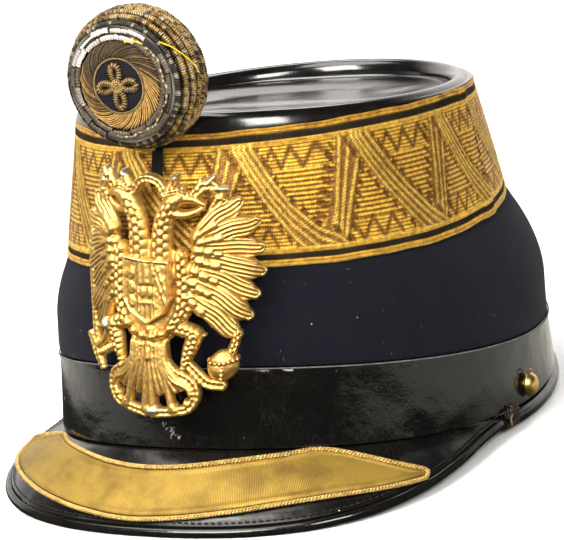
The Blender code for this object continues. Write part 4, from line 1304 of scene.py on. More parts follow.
@dataclass
class Crescent:
    """The crescent of gold cloth on the peak and the twisted cord around it."""

    turns: tuple[float, ...] = (0, 10, 20, 30, 40, 46, 52, 55.5)
    inner: tuple[float, ...] = (0.32, 0.29, 0.22, 0.16, 0.12, 0.32, 0.60, 0.77)
    outer: tuple[float, ...] = (0.82, 0.79, 0.74, 0.70, 0.71, 0.75, 0.80, 0.83)
    centre: float = -4.0
    lift: float = 0.55
    cord: float = 0.92
    past: float = 1.0
    steps: int = 150
    across: int = 26
    strands: int = 2
    twist_mm: float = 2.4
    rumple: Ripple = Ripple(41, 14.0)

    def edges(self, turns: Array) -> tuple[Array, Array]:
        """The parts of the peak at which the crescent begins and ends."""
        return smooth_rows(self.turns, self.inner, turns), smooth_rows(self.turns, self.outer, turns)

    def cloth(self) -> bpy.types.Object:
        """The gold cloth, with its edge turned over a core."""
        end = self.turns[-1]
        turns = np.linspace(-end, end, self.steps + 1)
        inner, outer = self.edges(turns)
        parts = np.linspace(0, 1, self.across)
        part = inner[:, None] + (outer - inner)[:, None] * parts
        length = FORM.peak_length(turns + self.centre)[:, None]
        inside = np.minimum(part - inner[:, None], outer[:, None] - part) * length
        fold = 0.55 * ridge(inside - 0.9, 0.95) * (inside < 1.9)
        flat = FORM.peak_point(turns[:, None] + self.centre, part, 0.0)
        soft = 0.12 * self.rumple.at(flat) * smoothstep(0.5, 3.0, inside)
        high = self.lift + 0.45 + fold + soft
        upper = FORM.peak_point(turns[:, None] + self.centre, part, high)
        lower = FORM.peak_point(turns[:, None] + self.centre, part, 0.1)
        points = np.concatenate([upper, lower[:, ::-1], upper[:, :1]], axis=1)
        run = stacked(FORM.arc(0.0, np.radians(turns))[:, None], part * length)
        run = np.concatenate([run, run[:, ::-1], run[:, :1]], axis=1)
        maker = Maker("peak_gold_cloth")
        maker.sheet(points, run, round_v=True, capped=True)
        return maker.make([PEAK_CLOTH], ["peak_lace"])

    def cord_path(self) -> Array:
        """The middle of the cord around the crescent, back to its start."""
        end = self.turns[-1]
        turns = np.linspace(-end, end, self.steps + 1)
        inner, outer = self.edges(turns)
        spread = (self.cord + 0.2) / FORM.peak_length(turns + self.centre)
        lift = self.cord + 0.25
        tip = (self.inner[-1] + self.outer[-1]) / 2
        right = FORM.peak_point(np.array([end + self.past + self.centre]), tip, lift)
        left = FORM.peak_point(np.array([-end - self.past + self.centre]), tip, lift)
        out = FORM.peak_point(turns + self.centre, outer + spread, lift)
        back = FORM.peak_point(turns[::-1] + self.centre, (inner - spread)[::-1], lift)
        return np.concatenate([out, right, back, left, out[:1]])

    def cord_round(self) -> bpy.types.Object:
        """The twisted cord."""
        closed = self.cord_path()
        length = run_along(closed)[-1]
        at = np.linspace(0, length, int(length / self.twist_mm * 9) + 1)[:-1]
        path = along_path(closed, at)
        for _ in range(12):
            path = (np.roll(path, 1, axis=0) + 2 * path + np.roll(path, -1, axis=0)) / 4
        way = unit(np.roll(path, -1, axis=0) - np.roll(path, 1, axis=0))
        side = unit(np.cross(way, (0.0, 0.0, 1.0)))
        lift = np.cross(side, way)
        twists = round(length / self.twist_mm)
        maker = Maker("peak_cord")
        for strand in range(self.strands):
            angle = FULL * (at / length * twists + strand / self.strands)
            offset = side * np.cos(angle)[:, None] + lift * np.sin(angle)[:, None]
            maker.tube(path + offset * self.cord * 0.46, self.cord * 0.56, sides=7, closed=True)
        return maker.make([CORD_THREAD], ["peak_lace_cord"], sharp=80)

    def build(self) -> None:
        """Make both."""
        self.cloth()
        self.cord_round()


# ------------------------------------------------------------------ the gold lace around the crown


LACE_STEP = 3.5


@dataclass(frozen=True)
class LaceTones:
    """The colours of the lace's threads, and the painted shade of the troughs between its ribs."""

    crest: Colour = (0.92, 0.53, 0.065)
    painted_trough_shade: Colour = (0.20, 0.080, 0.013)
    ground: Colour = (0.31, 0.145, 0.030)
    cord: Colour = (1.0, 0.64, 0.11)
    notch: Colour = (0.17, 0.070, 0.013)
    worn: Colour = (0.42, 0.19, 0.06)
    silk: Colour = (0.004, 0.0045, 0.0045)


def blended(colour: Array, toward: Colour, share: Array) -> Array:
    """A colour at each place, moved towards another."""
    return colour + (np.asarray(toward) - colour) * share[..., None]


@dataclass
class CrownLace:
    """The woven gold lace: a figured field between black-striped edges, its end laid over its start.

    A place on it is s, the millimetres along it from the front, and h, the millimetres down from its top.
    """

    width: float = 47.0
    turns: tuple[float, float] = (-265.0, 100.5)
    fine_from: float = -98.0
    lap_rise: float = 0.75
    lap_length: float = 7.0
    field_top: float = 4.2
    field_bottom: float = 43.0
    coarse: float = 0.92
    fine: float = 0.4
    repeat: float = 44.0
    tones: LaceTones = LaceTones()
    mottle: Ripple = Ripple(51, 14.0)
    wobble: Ripple = Ripple(52, 22.0)
    grain: Ripple = Ripple(53, 1.5, 26)
    # cords of the two slanting bands: s at each depth of cord_rows, for the repeat that begins at 60 mm
    cord_rows: tuple[float, ...] = (7.0, 16.0, 25.0, 34.0, 41.5)
    slant_cords: tuple[tuple[float, ...], ...] = (
        (71.6, 76.9, 83.6, 91.6, 98.4),
        (73.4, 79.3, 86.4, 95.0, 102.4),
        (75.4, 81.9, 89.2, 98.2, 106.2),
        (78.4, 85.0, 92.3, 101.2, 109.4),
    )
    steep_cords: tuple[tuple[float, ...], ...] = (
        (66.6, 64.9, 63.4, 62.0, 61.0),
        (70.6, 68.2, 66.0, 64.0, 62.6),
        (75.6, 72.2, 69.0, 66.2, 64.4),
    )
    leaf_pitch: float = 3.7
    leaf_size: tuple[float, float] = (2.3, 0.95)
    leaf_way: tuple[float, float] = (0.50, 0.866)
    rib: float = 1.6
    fine_rib: float = 1.2
    zigzag_top: tuple[float, float] = (7.4, 14.4)
    zigzag_foot: tuple[float, float] = (34.0, 41.0)
    zigzag_half: float = 4.1

    def template(self, s: Array) -> Array:
        """Where in the repeat each place lies; the weave was drawn out unevenly when it was sewn on."""
        sewn = (-60.0, 30.0, 46.0, 55.0, 62.0, 75.0, 95.0, 103.0, 110.0, 123.0, 140.0, 160.0)
        woven = (-60.0, 30.7, 50.5, 58.9, 62.3, 75.0, 95.0, 103.0, 108.5, 124.5, 147.0, 163.0)
        shifted = np.interp(s, sewn, woven)
        return np.where(s < sewn[0], s, np.where(s > sewn[-1], s + woven[-1] - sewn[-1], shifted))

    def cords(
        self, x: Array, h: Array, table: Sequence[Sequence[float]], half: float
    ) -> tuple[Array, Array, Array]:
        """The raised cords of one band.

        Args:
            x: Place in the repeat.
            h: Depth from the top.
            table: The cords' places at the rows' depths.
            half: A cord's half width.

        Returns:
            The cords' height from 0 to 1, and the band's left and right edges at each depth.
        """
        height = np.zeros_like(x)
        lines = [np.interp(h, self.cord_rows, row) for row in table]
        for line, row in zip(lines, table):
            slope = (row[-1] - row[0]) / (self.cord_rows[-1] - self.cord_rows[0])
            height = np.maximum(height, ridge((x - line) / math.hypot(1.0, slope), half))
        return height, lines[0], lines[-1]

    def leaves(self, x: Array, h: Array, line: Array, start: float) -> Array:
        """Dark leaf-shaped notches one under another along a line, from 0 to 1."""
        number = np.round((h - start) / self.leaf_pitch)
        middle_h = start + number * self.leaf_pitch
        slope = np.gradient(line, axis=-1) / np.maximum(np.gradient(h, axis=-1), 1e-6)
        middle_x = line + (middle_h - h) * slope
        dx, dh = x - middle_x, h - middle_h
        along = dx * self.leaf_way[0] + dh * self.leaf_way[1]
        across = dx * self.leaf_way[1] - dh * self.leaf_way[0]
        inside = 1 - (along / self.leaf_size[0]) ** 2 - (across / self.leaf_size[1]) ** 2
        return np.clip(inside * 1.8, 0, 1)

    def zigzag(self, x: Array, h: Array, first: float, last: float, span: tuple[float, float]) -> Array:
        """A row of pointed triangles with dotted sides.

        Args:
            x: Place in the repeat.
            h: Depth from the top.
            first: The first point's place.
            last: The last point's place.
            span: Depths of the points and of the feet.

        Returns:
            The grooves of their sides from 0 to 1.
        """
        half = self.zigzag_half
        along = np.mod(x - first + half, 2 * half) - half
        line = span[0] + (span[1] - span[0]) * np.abs(along) / half
        steep = (span[1] - span[0]) / half
        groove = np.clip(1.35 - np.abs(h - line) / math.hypot(1.0, steep) / 0.95, 0, 1)
        within = (x > first - half) & (x < last + half) & (h > span[0] - 0.8) & (h < span[1] + 0.4)
        return groove * within

    def woven(self, s: Array, h: Array) -> tuple[Array, Array]:
        """The figured field.

        Args:
            s: Millimetres along.
            h: Millimetres down.

        Returns:
            Its height in millimetres and its colour.
        """
        tones = self.tones
        spot = stacked(s, h, 0.0)
        soft = self.wobble.at(spot)
        x = np.mod(self.template(s) - 60.0, self.repeat) + 60.0
        ends = np.maximum(smoothstep(15.0, 14.0, h), smoothstep(33.5, 34.5, h))
        wide = 0.5 - 0.5 * np.cos(FULL * h / self.rib)
        narrow = 0.5 - 0.5 * np.cos(FULL * (h - 6.6) / self.fine_rib)
        ribs = wide * (1 - ends) + narrow * ends
        height = 0.34 * ribs - 0.30
        # painted shade: the ribs are full gold on their crests and painted dark in the troughs between them
        colour = blended(np.array(tones.painted_trough_shade), tones.crest, smoothstep(0.05, 0.75, ribs))
        hatch = np.cos(FULL * (s + 0.55 * h) / 1.15)
        height = height + 0.05 * hatch * ribs
        colour = colour * (1 + 0.20 * hatch)[..., None]
        for shift in (-self.repeat, 0.0, self.repeat):
            place = x + shift
            for first, last, span in ((87.4, 103.8, self.zigzag_top), (67.8, 84.2, self.zigzag_foot)):
                groove = self.zigzag(place, h, first, last, span)
                height = height - 0.30 * groove
                colour = blended(colour, tones.notch, 0.92 * groove)
        for shift in (-self.repeat, 0.0, self.repeat):
            place = x + shift
            for table, half, spread, tint in (
                (self.steep_cords, 0.8, 1.5, 0.88), (self.slant_cords, 0.72, 1.3, 1.0),
            ):
                cord, left, right = self.cords(place, h, table, half)
                band = smoothstep(left - spread - 0.5, left - spread, place)
                band = band * smoothstep(right + spread + 0.5, right + spread, place)
                # painted shade: the ground and the cord beads are painted darker where their relief is low
                fibre = 0.5 + 0.5 * np.cos(FULL * (h + 0.35 * place) / 1.05)
                ground = np.array(tones.ground) * tint * (0.78 + 0.4 * fibre)[..., None]
                height = height + (0.07 * fibre - 0.16 - height) * band
                colour = blended(colour, ground, band)
                bead = 0.5 + 0.5 * np.cos(FULL * (h + 0.5 * place) / 1.0)
                height = height + 0.38 * cord * (0.62 + 0.38 * bead)
                bright = np.array(tones.cord) * tint * (0.34 + 0.82 * bead)[..., None]
                colour = blended(colour, bright, smoothstep(0.35, 0.9, cord))
                for line, start in ((left - spread - 1.5, 9.0), (right + spread + 1.2, 10.6)):
                    leaf = self.leaves(place, h, line, start) * ((h > 6.5) & (h < 41.5))
                    height = height - 0.34 * leaf
                    colour = blended(colour, tones.notch, 0.92 * leaf)
        spots = self.mottle.at(spot * np.array([1.0, 1.6, 1.0]))
        grain = self.grain.at(spot)
        colour = colour * np.clip(1 + 0.16 * spots + 0.06 * soft + 0.30 * grain, 0.3, 1.9)[..., None]
        return height + 0.04 * soft + 0.035 * grain, np.clip(colour, 0, 1)

    def at(self, turn: Array, h: Array, outside: Array) -> Array:
        """Points of the lace in the hat's frame; near its end it lies over its own start."""
        s = FORM.arc(LACE_STEP, turn)
        end = FORM.arc(LACE_STEP, np.radians(self.turns[1]))
        start = FORM.arc(LACE_STEP, np.radians(self.turns[0]))
        rise = self.lap_rise * smoothstep(end - self.lap_length - 3.0, end - self.lap_length + 1.0, s)
        under = smoothstep(start + 10.0, start + 3.0, s)
        wavy = 0.14 * np.sin(s / 7.3) + 0.10 * np.sin(s / 3.1 + 1.0)
        edge = smoothstep(40.0, 47.0, h) + smoothstep(6.0, 0.0, h)
        step = 4.0 - (h - 0.7 * under + wavy * edge) / self.width
        return FORM.point(step, turn, outside + rise - 0.25 * under)

    def columns(self, spacing: tuple[float, float]) -> Array:
        """The turns of the columns, far apart behind and close in front."""
        bounds = np.radians((self.turns[0], self.fine_from, self.turns[1]))
        start, middle, end = (float(s) for s in FORM.arc(LACE_STEP, bounds))
        behind = np.linspace(start, middle, int((middle - start) / spacing[0]) + 1)[:-1]
        front = np.linspace(middle, end, int((end - middle) / spacing[1]) + 1)
        return FORM.turn_at(LACE_STEP, np.concatenate([behind, front]))

    def lay(
        self, maker: Maker, turn: Array, h: Array, lift: Array, tint: Array, under: float, kind: int = 0
    ) -> None:
        """Add one long strip of the lace, closed below.

        Args:
            maker: What it is added to.
            turn: The turn at each place, with places along first and down second.
            h: The millimetres down.
            lift: The height of its surface.
            tint: Its colour.
            under: The height of its under side.
            kind: The finish's number on the piece.
        """
        upper = self.at(turn, h, lift)
        points = np.concatenate([upper, self.at(turn[:, :1], h[:1, [-1, 0]], under), upper[:, :1]], axis=1)
        run, tint = (
            np.concatenate([grid, grid[:, -1:], grid[:, :1], grid[:, :1]], axis=1)
            for grid in (stacked(FORM.arc(LACE_STEP, turn), h), tint)
        )
        maker.sheet(points, run, round_v=True, tint=tint, kind=kind, capped=True)

    def field(self) -> bpy.types.Object:
        """The figured field, raised as it is woven."""
        depths = np.arange(self.field_top, self.field_bottom + 0.01, self.fine)
        turn, h = np.meshgrid(self.columns((self.coarse, self.fine)), depths, indexing="ij")
        height, colour = self.woven(FORM.arc(LACE_STEP, turn), h)
        close = np.minimum(1.0, np.minimum(h - self.field_top, self.field_bottom - h) / 0.8)
        maker = Maker("lace_field")
        self.lay(maker, turn, h, height * close - 0.35 * (1 - close) - 0.05, colour, -1.1)
        return maker.make([LACE_THREAD], ["crown_lace"], sharp=80)

    def edge_cord(self, maker: Maker, h: float, radius: float, tint: Colour) -> None:
        """One cord woven into an edge, along the whole lace; the upper edge is worn more."""
        turns = self.columns((1.2, 0.7))
        path = self.at(turns, np.full_like(turns, h), -0.35)
        low, most = (-0.3, 0.75) if h < 3 else (0.1, 0.25)
        patches = self.mottle.at(stacked(FORM.arc(LACE_STEP, turns) * 1.6, h * 3, 0.0))
        shade = blended(np.array(tint), self.tones.worn, smoothstep(low, 0.8, patches) * most)
        maker.tube(path, radius, sides=8, flatten=0.8, up=FORM.outward(LACE_STEP, turns), tint=shade)

    def stripe(self, maker: Maker, top: float, bottom: float) -> None:
        """A black silk stripe with gilt ticks across it."""
        turn, h = np.meshgrid(self.columns((0.9, 0.29)), np.linspace(top, bottom, 9), indexing="ij")
        tick = smoothstep(0.4, 0.85, 0.5 + 0.5 * np.cos(FULL * FORM.arc(LACE_STEP, turn) / 0.86))
        rim = np.abs(h - (top + bottom) / 2) / ((bottom - top) / 2)
        share = tick * (0.04 + 0.60 * smoothstep(0.66, 1.0, rim))
        tint = blended(np.array(self.tones.silk), times(0.8, self.tones.crest), share)
        self.lay(maker, turn, h, -0.42 + 0.16 * tick + 0.22 * np.cos(rim * 1.3), tint, -1.0, 1)

    def edges(self) -> bpy.types.Object:
        """The cords and black stripes along both edges."""
        maker = Maker("lace_edges")
        gold, pale = self.tones.crest, self.tones.cord
        for h, radius, tint in (
            (0.5, 0.56, times(0.8, gold)), (1.45, 0.52, gold), (4.95, 0.52, pale), (5.75, 0.45, gold),
            (41.65, 0.68, pale), (42.45, 0.4, gold), (45.35, 0.62, gold), (46.45, 0.62, times(0.85, pale)),
        ):
            self.edge_cord(maker, h, radius, tint)
        self.stripe(maker, 1.85, 4.6)
        self.stripe(maker, 42.6, 44.9)
        return maker.make([EDGE_THREAD, SILK], sharp=80)

    def build(self) -> None:
        """Make the field and the edges."""
        self.field()
        self.edges()


# ------------------------------------------------------------------ the cockade


class Bullion(Enum):
    """The tints of the cockade's wire, from the darkest up."""

    DARK = (0.035, 0.024, 0.014)
    GREY = (0.085, 0.080, 0.068)
    BROWN = (0.24, 0.145, 0.055)
    GOLD = (0.92, 0.62, 0.20)
    SILVER = (0.66, 0.58, 0.44)


@dataclass
class Cockade:
    """The wound cockade: disc with its ornament, wreath of wire, spangles, wound cords and core.

    Its own frame has x to the wearer's left, y down and z back along its axis, with turns clockwise as seen.
    """

    face: tuple[float, float, float] = (0.0, -110.4, 127.3)
    tilt: float = math.radians(3.0)
    core: Rows = (
        (2.0, 3.35), (14.0, 3.4), (18.2, 3.6), (19.9, 6.5), (21.0, 10.0), (21.6, 15.0), (20.5, 20.0),
        (17.0, 23.2), (8.0, 24.3), (1.0, 24.4),
    )
    disc: Rows = ((0.5, 0.55), (4.0, 0.5), (6.0, 0.5), (8.4, 0.75), (9.1, 1.1), (9.2, 2.9), (1.0, 2.9))
    wreath: Rows = ((9.5, 1.3), (10.2, 0.65), (11.4, 0.45), (13.2, 0.75), (14.6, 1.4), (15.4, 2.7))
    wreath_back: Rows = ((15.2, 3.1), (9.6, 3.1))
    wreath_pad: float = 0.18
    spangle_base: Rows = ((15.7, 2.0), (17.4, 2.3), (19.0, 3.1), (15.8, 3.2))
    rays: int = 70
    swirl: float = 0.66
    spangle_rows: tuple[tuple[float, float, int], ...] = ((16.30, 1.55, 15), (18.45, 2.35, 17))
    spangle_half: float = 0.82
    cords: Rows = ((4.2, 20.3), (7.0, 21.8), (9.8, 22.9), (12.7, 23.4), (15.6, 23.4), (18.5, 22.8))
    cord_radius: float = 1.3
    winding: float = 0.82
    # the turn where the cords are painted brightest
    bright_turn: float = math.radians(-40.0)
    patches: Ripple = Ripple(61, 13.0)
    glints: Ripple = Ripple(62, 5.0)

    def turning(self) -> Array:
        """The turning of the cockade's own frame in the hat's; its last column is the way back."""
        angle = -math.pi / 2 + self.tilt
        c, s = math.cos(angle), math.sin(angle)
        return np.array([[1, 0, 0], [0, c, -s], [0, s, c]])

    def hat(self, points: Array) -> Array:
        """Points of the cockade's frame in the hat's."""
        return np.asarray(points) @ self.turning().T + np.array(self.face)

    def ring(self, radius: Array, turn: Array, along: Array) -> Array:
        """Points around the cockade's axis, in the hat's frame."""
        return self.hat(stacked(radius * np.cos(turn), radius * np.sin(turn), along))

    def turned(
        self, name: str, rows: Rows, finish: Finish, slot: str, node: str, closed: bool = False
    ) -> bpy.types.Object:
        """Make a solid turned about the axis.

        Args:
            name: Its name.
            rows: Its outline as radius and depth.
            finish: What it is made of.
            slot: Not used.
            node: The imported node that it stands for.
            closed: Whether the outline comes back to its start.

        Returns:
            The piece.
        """
        turns = np.linspace(0, FULL, 97)
        radius, depth = np.array([*rows, *rows[: int(closed)]]).T[..., None]
        maker = Maker(name)
        run = stacked(turns * 15.0, radius)
        maker.sheet(self.ring(radius, turns, depth), run, round_u=closed, round_v=True, capped=not closed)
        return maker.make([finish], [node])

    def around(
        self, name: str, shape: Maker, count: int, lit: tuple[float, float], variety: Variety,
        finish: Finish, slot: str
    ) -> bpy.types.Object:
        """Repeat a shape around the axis.

        Args:
            name: The piece's name.
            shape: The shape at its first place, in the cockade's own frame.
            count: How many there are.
            lit: The turn in degrees where they are painted brightest, and how far the painted light spreads.
            variety: How much they differ.
            finish: What they are made of.
            slot: Not used.

        Returns:
            The piece.
        """
        turns = np.arange(count) / count * FULL
        # painted light: copies are brighter towards the lit turn and darker away from it
        bright = np.cos(turns - math.radians(lit[0])) + lit[1]
        places = np.zeros((count, 3))
        mesh = Repeats.mesh(name, shape.local(), places, stacked(0.0, 0.0, turns), bright, variety, finish)
        points = np.empty(len(mesh.vertices) * 3)
        mesh.vertices.foreach_get("co", points)
        mesh.vertices.foreach_set("co", STANDING.world(self.hat(points.reshape(-1, 3) / MM)).ravel())
        return placed(name, mesh)

    def wound_cords(self) -> bpy.types.Object:
        """The cords wound with wire of mixed tints, dulled and frayed, with painted light brightest towards
        bright_turn and painted shade between windings and between neighbouring cords.
        """
        maker = Maker("cockade_wound_cords")
        rng = np.random.default_rng(63)
        sides = 12
        around = np.linspace(0, FULL, sides + 1)
        stops = (0.12, 0.32, 0.48, 0.70, 0.86)
        ramp = np.array([name.value for name in Bullion])
        for number, (along, radius) in enumerate(self.cords):
            windings = int(FULL * radius / self.winding)
            turns = np.linspace(0, FULL, windings * 4 + 1)
            phase = turns[:, None] * windings + around
            loose = rng.uniform(0.0, 1.0, windings + 2)
            which = np.floor(np.mod(phase / FULL, windings)).astype(int)
            swell = 0.13 * np.cos(phase) + 0.12 * (loose[which] - 0.5)
            spot = stacked(np.cos(turns) * radius, np.sin(turns) * radius, along)
            thick = self.cord_radius * (0.93 + swell * 0.9 + 0.10 * self.glints.at(spot)[:, None])
            thick[-1] = thick[0]
            depth = along + thick * np.sin(around)
            points = self.ring(radius + thick * np.cos(around), turns[:, None], depth)
            patch = 0.5 + 0.5 * self.patches.at(spot)
            # painted light: the wire is picked brighter towards bright_turn and darker away from it
            lit = 0.5 + 0.5 * np.cos(turns - self.bright_turn)
            third = which * 3 + np.minimum(np.arange(sides + 1) // 4, 2)
            spark = rng.uniform(0.0, 1.0, which.max() * 3 + 6)[third]
            pick = 0.34 * loose[which] + 0.42 * spark + 0.30 * (patch + lit - 0.75)[:, None]
            # painted shade: the front cord is held darker, most towards bright_turn, with a few windings left
            # bright
            if number == 0:
                dark = np.minimum(pick, 0.30 + 0.25 * (1 - lit)[:, None] * spark)
                pick = np.where(spark > 0.80, pick + 0.35, dark)
            tint = stacked(*(np.interp(pick, stops, ramp[:, k]) for k in range(3)))
            # painted shade: darker between the windings and on the cords' front and back faces, where
            # neighbouring cords meet
            painted_groove_shade = (0.62 + 0.38 * np.cos(phase)) * (0.30 + 0.70 * np.abs(np.cos(around)) ** 0.7)
            run = stacked(turns[:, None] * radius, around * self.cord_radius)
            maker.sheet(points, run, round_u=True, round_v=True, tint=tint * painted_groove_shade[..., None])
        nodes = [f"cockade_cord_{n}" for n in range(1, len(self.cords) + 1)]
        return maker.make([WOUND], nodes, sharp=80)

    def rope(
        self, maker: Maker, path: Array, radius: Array | float, tint: Array, closed: bool = False
    ) -> None:
        """A thin rope in the hat's frame that faces the front."""
        maker.tube(path, radius, sides=6, closed=closed, up=self.turning()[:, 2], tint=tint)

    def coil(self, maker: Maker, path: Array, radius: float, pitch: float, tint: Array) -> None:
        """A strand of coiled wire along a path of the cockade's own frame, with painted shade between its
        turns.
        """
        length = run_along(path)[-1]
        at = np.linspace(0, length, max(int(length / pitch * 4), 8) + 1)
        wave = np.cos(at / pitch * FULL)
        ends = np.sqrt(np.clip(np.minimum(at, at[-1] - at) / 0.6 + 0.25, 0, 1))
        # painted shade: each coil is darker where the wire thins between turns
        shade = np.asarray(tint, float) * (0.52 + 0.48 * wave)[:, None]
        fine = self.hat(along_path(path, at))
        maker.tube(fine, radius * (1.0 + 0.2 * wave) * ends, sides=10, up=self.turning()[:, 2], tint=shade)

    def ornament(self) -> bpy.types.Object:
        """A plain knot of four loops in coiled wire, its middle button and the ring round the disc."""
        maker = Maker("cockade_ornament")
        t = np.linspace(0, FULL, 241)
        knot = stacked(
            3.9 * np.cos(t) + 3.3 * np.cos(3 * t + 0.3), 3.9 * np.sin(t) - 3.3 * np.sin(3 * t + 0.3),
            0.15 - 0.42 * np.cos(4 * t) ** 2,
        )
        self.coil(maker, knot, 0.95, 0.85, (0.42, 0.29, 0.12))
        self.coil(maker, stacked(1.7 * np.cos(t), 1.7 * np.sin(t), -0.5), 0.7, 0.7, (0.60, 0.42, 0.17))
        turn = np.linspace(0, FULL, 1041)[:-1]
        for strand in range(2):
            angle = turn * 52 + strand * math.pi
            ring = self.ring(9.3 + 0.2 * np.cos(angle), turn, 0.75 + 0.2 * np.sin(angle))
            self.rope(maker, ring, 0.2, (0.34, 0.25, 0.13), closed=True)
        return maker.make([WOUND], sharp=80)

    def wreath_rays(self) -> bpy.types.Object:
        """The wreath: slanting rays of twisted wire around the disc, with painted light brightest towards one
        turn.
        """
        radii, depths = np.array(self.wreath).T
        t = np.linspace(0, 1, 15)
        radius = radii[0] + (radii[-1] - radii[0]) * t
        turn = self.swirl * (t - 0.5)
        path = stacked(radius * np.cos(turn), radius * np.sin(turn), np.interp(radius, radii, depths) - 0.05)
        ray = Maker("ray")
        ray.tube(path, 0.15 + 0.12 * t, sides=7, up=(0.0, 0.0, -1.0))
        variety = Variety((0.012, 0.012, 0.003), (0.985, 1.01), 3, (0.86, 0.55, 0.17), (0.17, 0.12, 0.065))
        return self.around("cockade_wire_wreath", ray, self.rays, (75.0, 0.30), variety, RAY, "bullion")

    def spangles(self) -> None:
        """The two rows of flat pearly strips, with painted light brightest towards one turn."""
        across = np.linspace(-self.spangle_half, self.spangle_half, 6)
        bowed = 0.28 * (across / self.spangle_half) ** 2
        edge = (np.abs(across) > 0.6)[:, None]
        for number, (radius, depth, count) in enumerate(self.spangle_rows):
            half = 0.96 * math.pi / count
            turn = np.linspace(-half, half, 19)[:, None]
            lift = bowed + 0.30 * (across + self.spangle_half) * number
            place = radius + across
            upper = stacked(place * np.cos(turn), place * np.sin(turn), depth - 0.45 + lift)
            upper += 0.16 * self.glints.at(upper * 3.0)[..., None] * upper / radius * edge
            lower = upper + np.array([0.0, 0.0, 0.3])
            strip = Maker("strip")
            points = np.concatenate([upper, lower[:, ::-1], upper[:, :1]], axis=1)
            strip.sheet(points, round_v=True, capped=True)
            variety = Variety(
                (0.035, 0.035, 0.00875), (0.975, 1.02), 7 + number, (0.95, 0.86, 0.80), (0.13, 0.105, 0.075)
            )
            name = f"cockade_spangles_{number + 1}"
            self.around(name, strip, count, (238.0, -0.30), variety, SPANGLE, "spangle")

    def loose_threads(self) -> bpy.types.Object:
        """Two loose bright threads lying over the cockade, and a dull cord beside the spangles."""
        maker = Maker("cockade_loose_threads")
        yellow = (0.95, 0.62, 0.02)
        t = np.linspace(0, 1, 40)
        over = np.radians(-73 + 22 * t) - 0.05 * np.sin(3 * t)
        self.rope(maker, self.ring(15.6 + 2.2 * t, over, 0.75 + 0.3 * t), 0.42 * (1 - 0.5 * t), yellow)
        along = 2.9 + 9.0 * t
        outside = np.interp(along, *np.array(self.cords).T) + self.cord_radius + 0.12
        second = self.ring(outside + 0.2 * np.sin(9 * t), np.radians(-40 + 37 * t**1.2), along)
        self.rope(maker, second, 0.28 * (1 - 0.4 * t), yellow)
        turn = np.linspace(0, FULL, 721)[:-1]
        grey = np.array(Bullion.GREY.value) * (1.2 + 0.8 * np.sin(turn * 5.0 + 1.0))[:, None]
        for strand in range(2):
            angle = turn * 60 + strand * math.pi
            ring = self.ring(19.55 + 0.28 * np.cos(angle), turn, 3.1 + 0.28 * np.sin(angle))
            self.rope(maker, ring, 0.29, grey, closed=True)
        side = np.radians(np.linspace(-68.0, 112.0, 420))
        radius = 17.3 + 0.35 * np.sin(9 * side) + 0.2 * np.sin(23 * side)
        glint = np.where(np.sin(side * 61) + np.sin(side * 37) > 0.3, 1.0, 0.3)[:, None]
        wavy = self.ring(radius, side, 1.55 + 0.25 * np.sin(7 * side))
        self.rope(maker, wavy, 0.42 + 0.07 * np.cos(side * 160), np.array((0.46, 0.38, 0.24)) * glint)
        return maker.make([LOOSE], sharp=80)

    def build(self) -> None:
        """Make every piece of the cockade."""
        wreath = tuple((r, d + self.wreath_pad) for r, d in self.wreath) + self.wreath_back
        self.turned("cockade_wound_core", self.core, WOUND_DARK, "bullion", "cockade_core")
        self.wound_cords()
        self.turned("cockade_black_disc", self.disc, VELVET, "velvet", "cockade_disc")
        self.ornament()
        self.turned("cockade_wreath_base", wreath, WOUND_DARK, "bullion", "cockade_wreath", closed=True)
        self.wreath_rays()
        base = self.spangle_base
        self.turned("cockade_spangle_base", base, WOUND_DARK, "spangle", "cockade_spangles", closed=True)
        self.spangles()
        self.loose_threads()


# ------------------------------------------------------------------ the eagle


class Cast(Enum):
    """What a stroke of the badge is modelled as."""

    ROUND = "round"
    QUILL = "quill"
    SCALES = "scales"
    BEADS = "beads"
    SCROLL = "scroll"
    LINKS = "links"


class Side(Enum):
    """Which half of the badge a stroke lies on."""

    BOTH = (False, True)
    LEFT = (False,)


@dataclass(frozen=True)
class Stroke:
    """One modelled form: its kind, its path as a run of across, up, half width and height, and its side."""

    kind: Cast
    spots: tuple[float, ...]
    side: Side = Side.BOTH
    pitch: float = 2.0
    silver: float = 0.0

    def path(self, mirrored: bool) -> Array:
        """A smooth path through the spots, or through their places on the wearer's right."""
        spots = np.array(self.spots, float).reshape(-1, 4)
        if mirrored:
            spots[:, 0], spots[:, 1] = over_the_middle(spots[:, 0], spots[:, 1])
        padded = np.vstack([2 * spots[0] - spots[1], spots, 2 * spots[-1] - spots[-2]])
        t = np.linspace(0, 1, 9)[:, None]
        parts = []
        for a, b, c, d in zip(padded, padded[1:], padded[2:], padded[3:]):
            bend, turn = 2 * a - 5 * b + 4 * c - d, 3 * b - a - 3 * c + d
            parts.append(0.5 * (2 * b + (c - a) * t + bend * t**2 + turn * t**3)[:-1])
        return np.vstack(parts + [spots[-1:]])


def over_the_middle(x: Array, y: Array) -> tuple[Array, Array]:
    """The place that answers to one on the other half, where the badge is pressed in and sits higher."""
    middle = 0.045 * (y - 26.0)
    off = x - middle
    near, far = np.minimum(off, 10.0), np.maximum(off - 18.0, 0.0)
    drawn_in = near + 0.75 * np.clip(off - 10.0, 0.0, 8.0) + 0.5 * far
    return middle - drawn_in, y + 0.2 * np.minimum(off, 18.0)


def dome(x: Array, y: Array) -> Array:
    """A round swelling that falls from 1 in its middle to 0 at a distance of 1."""
    return np.sqrt(np.clip(1 - x**2 - y**2, 0, 1))


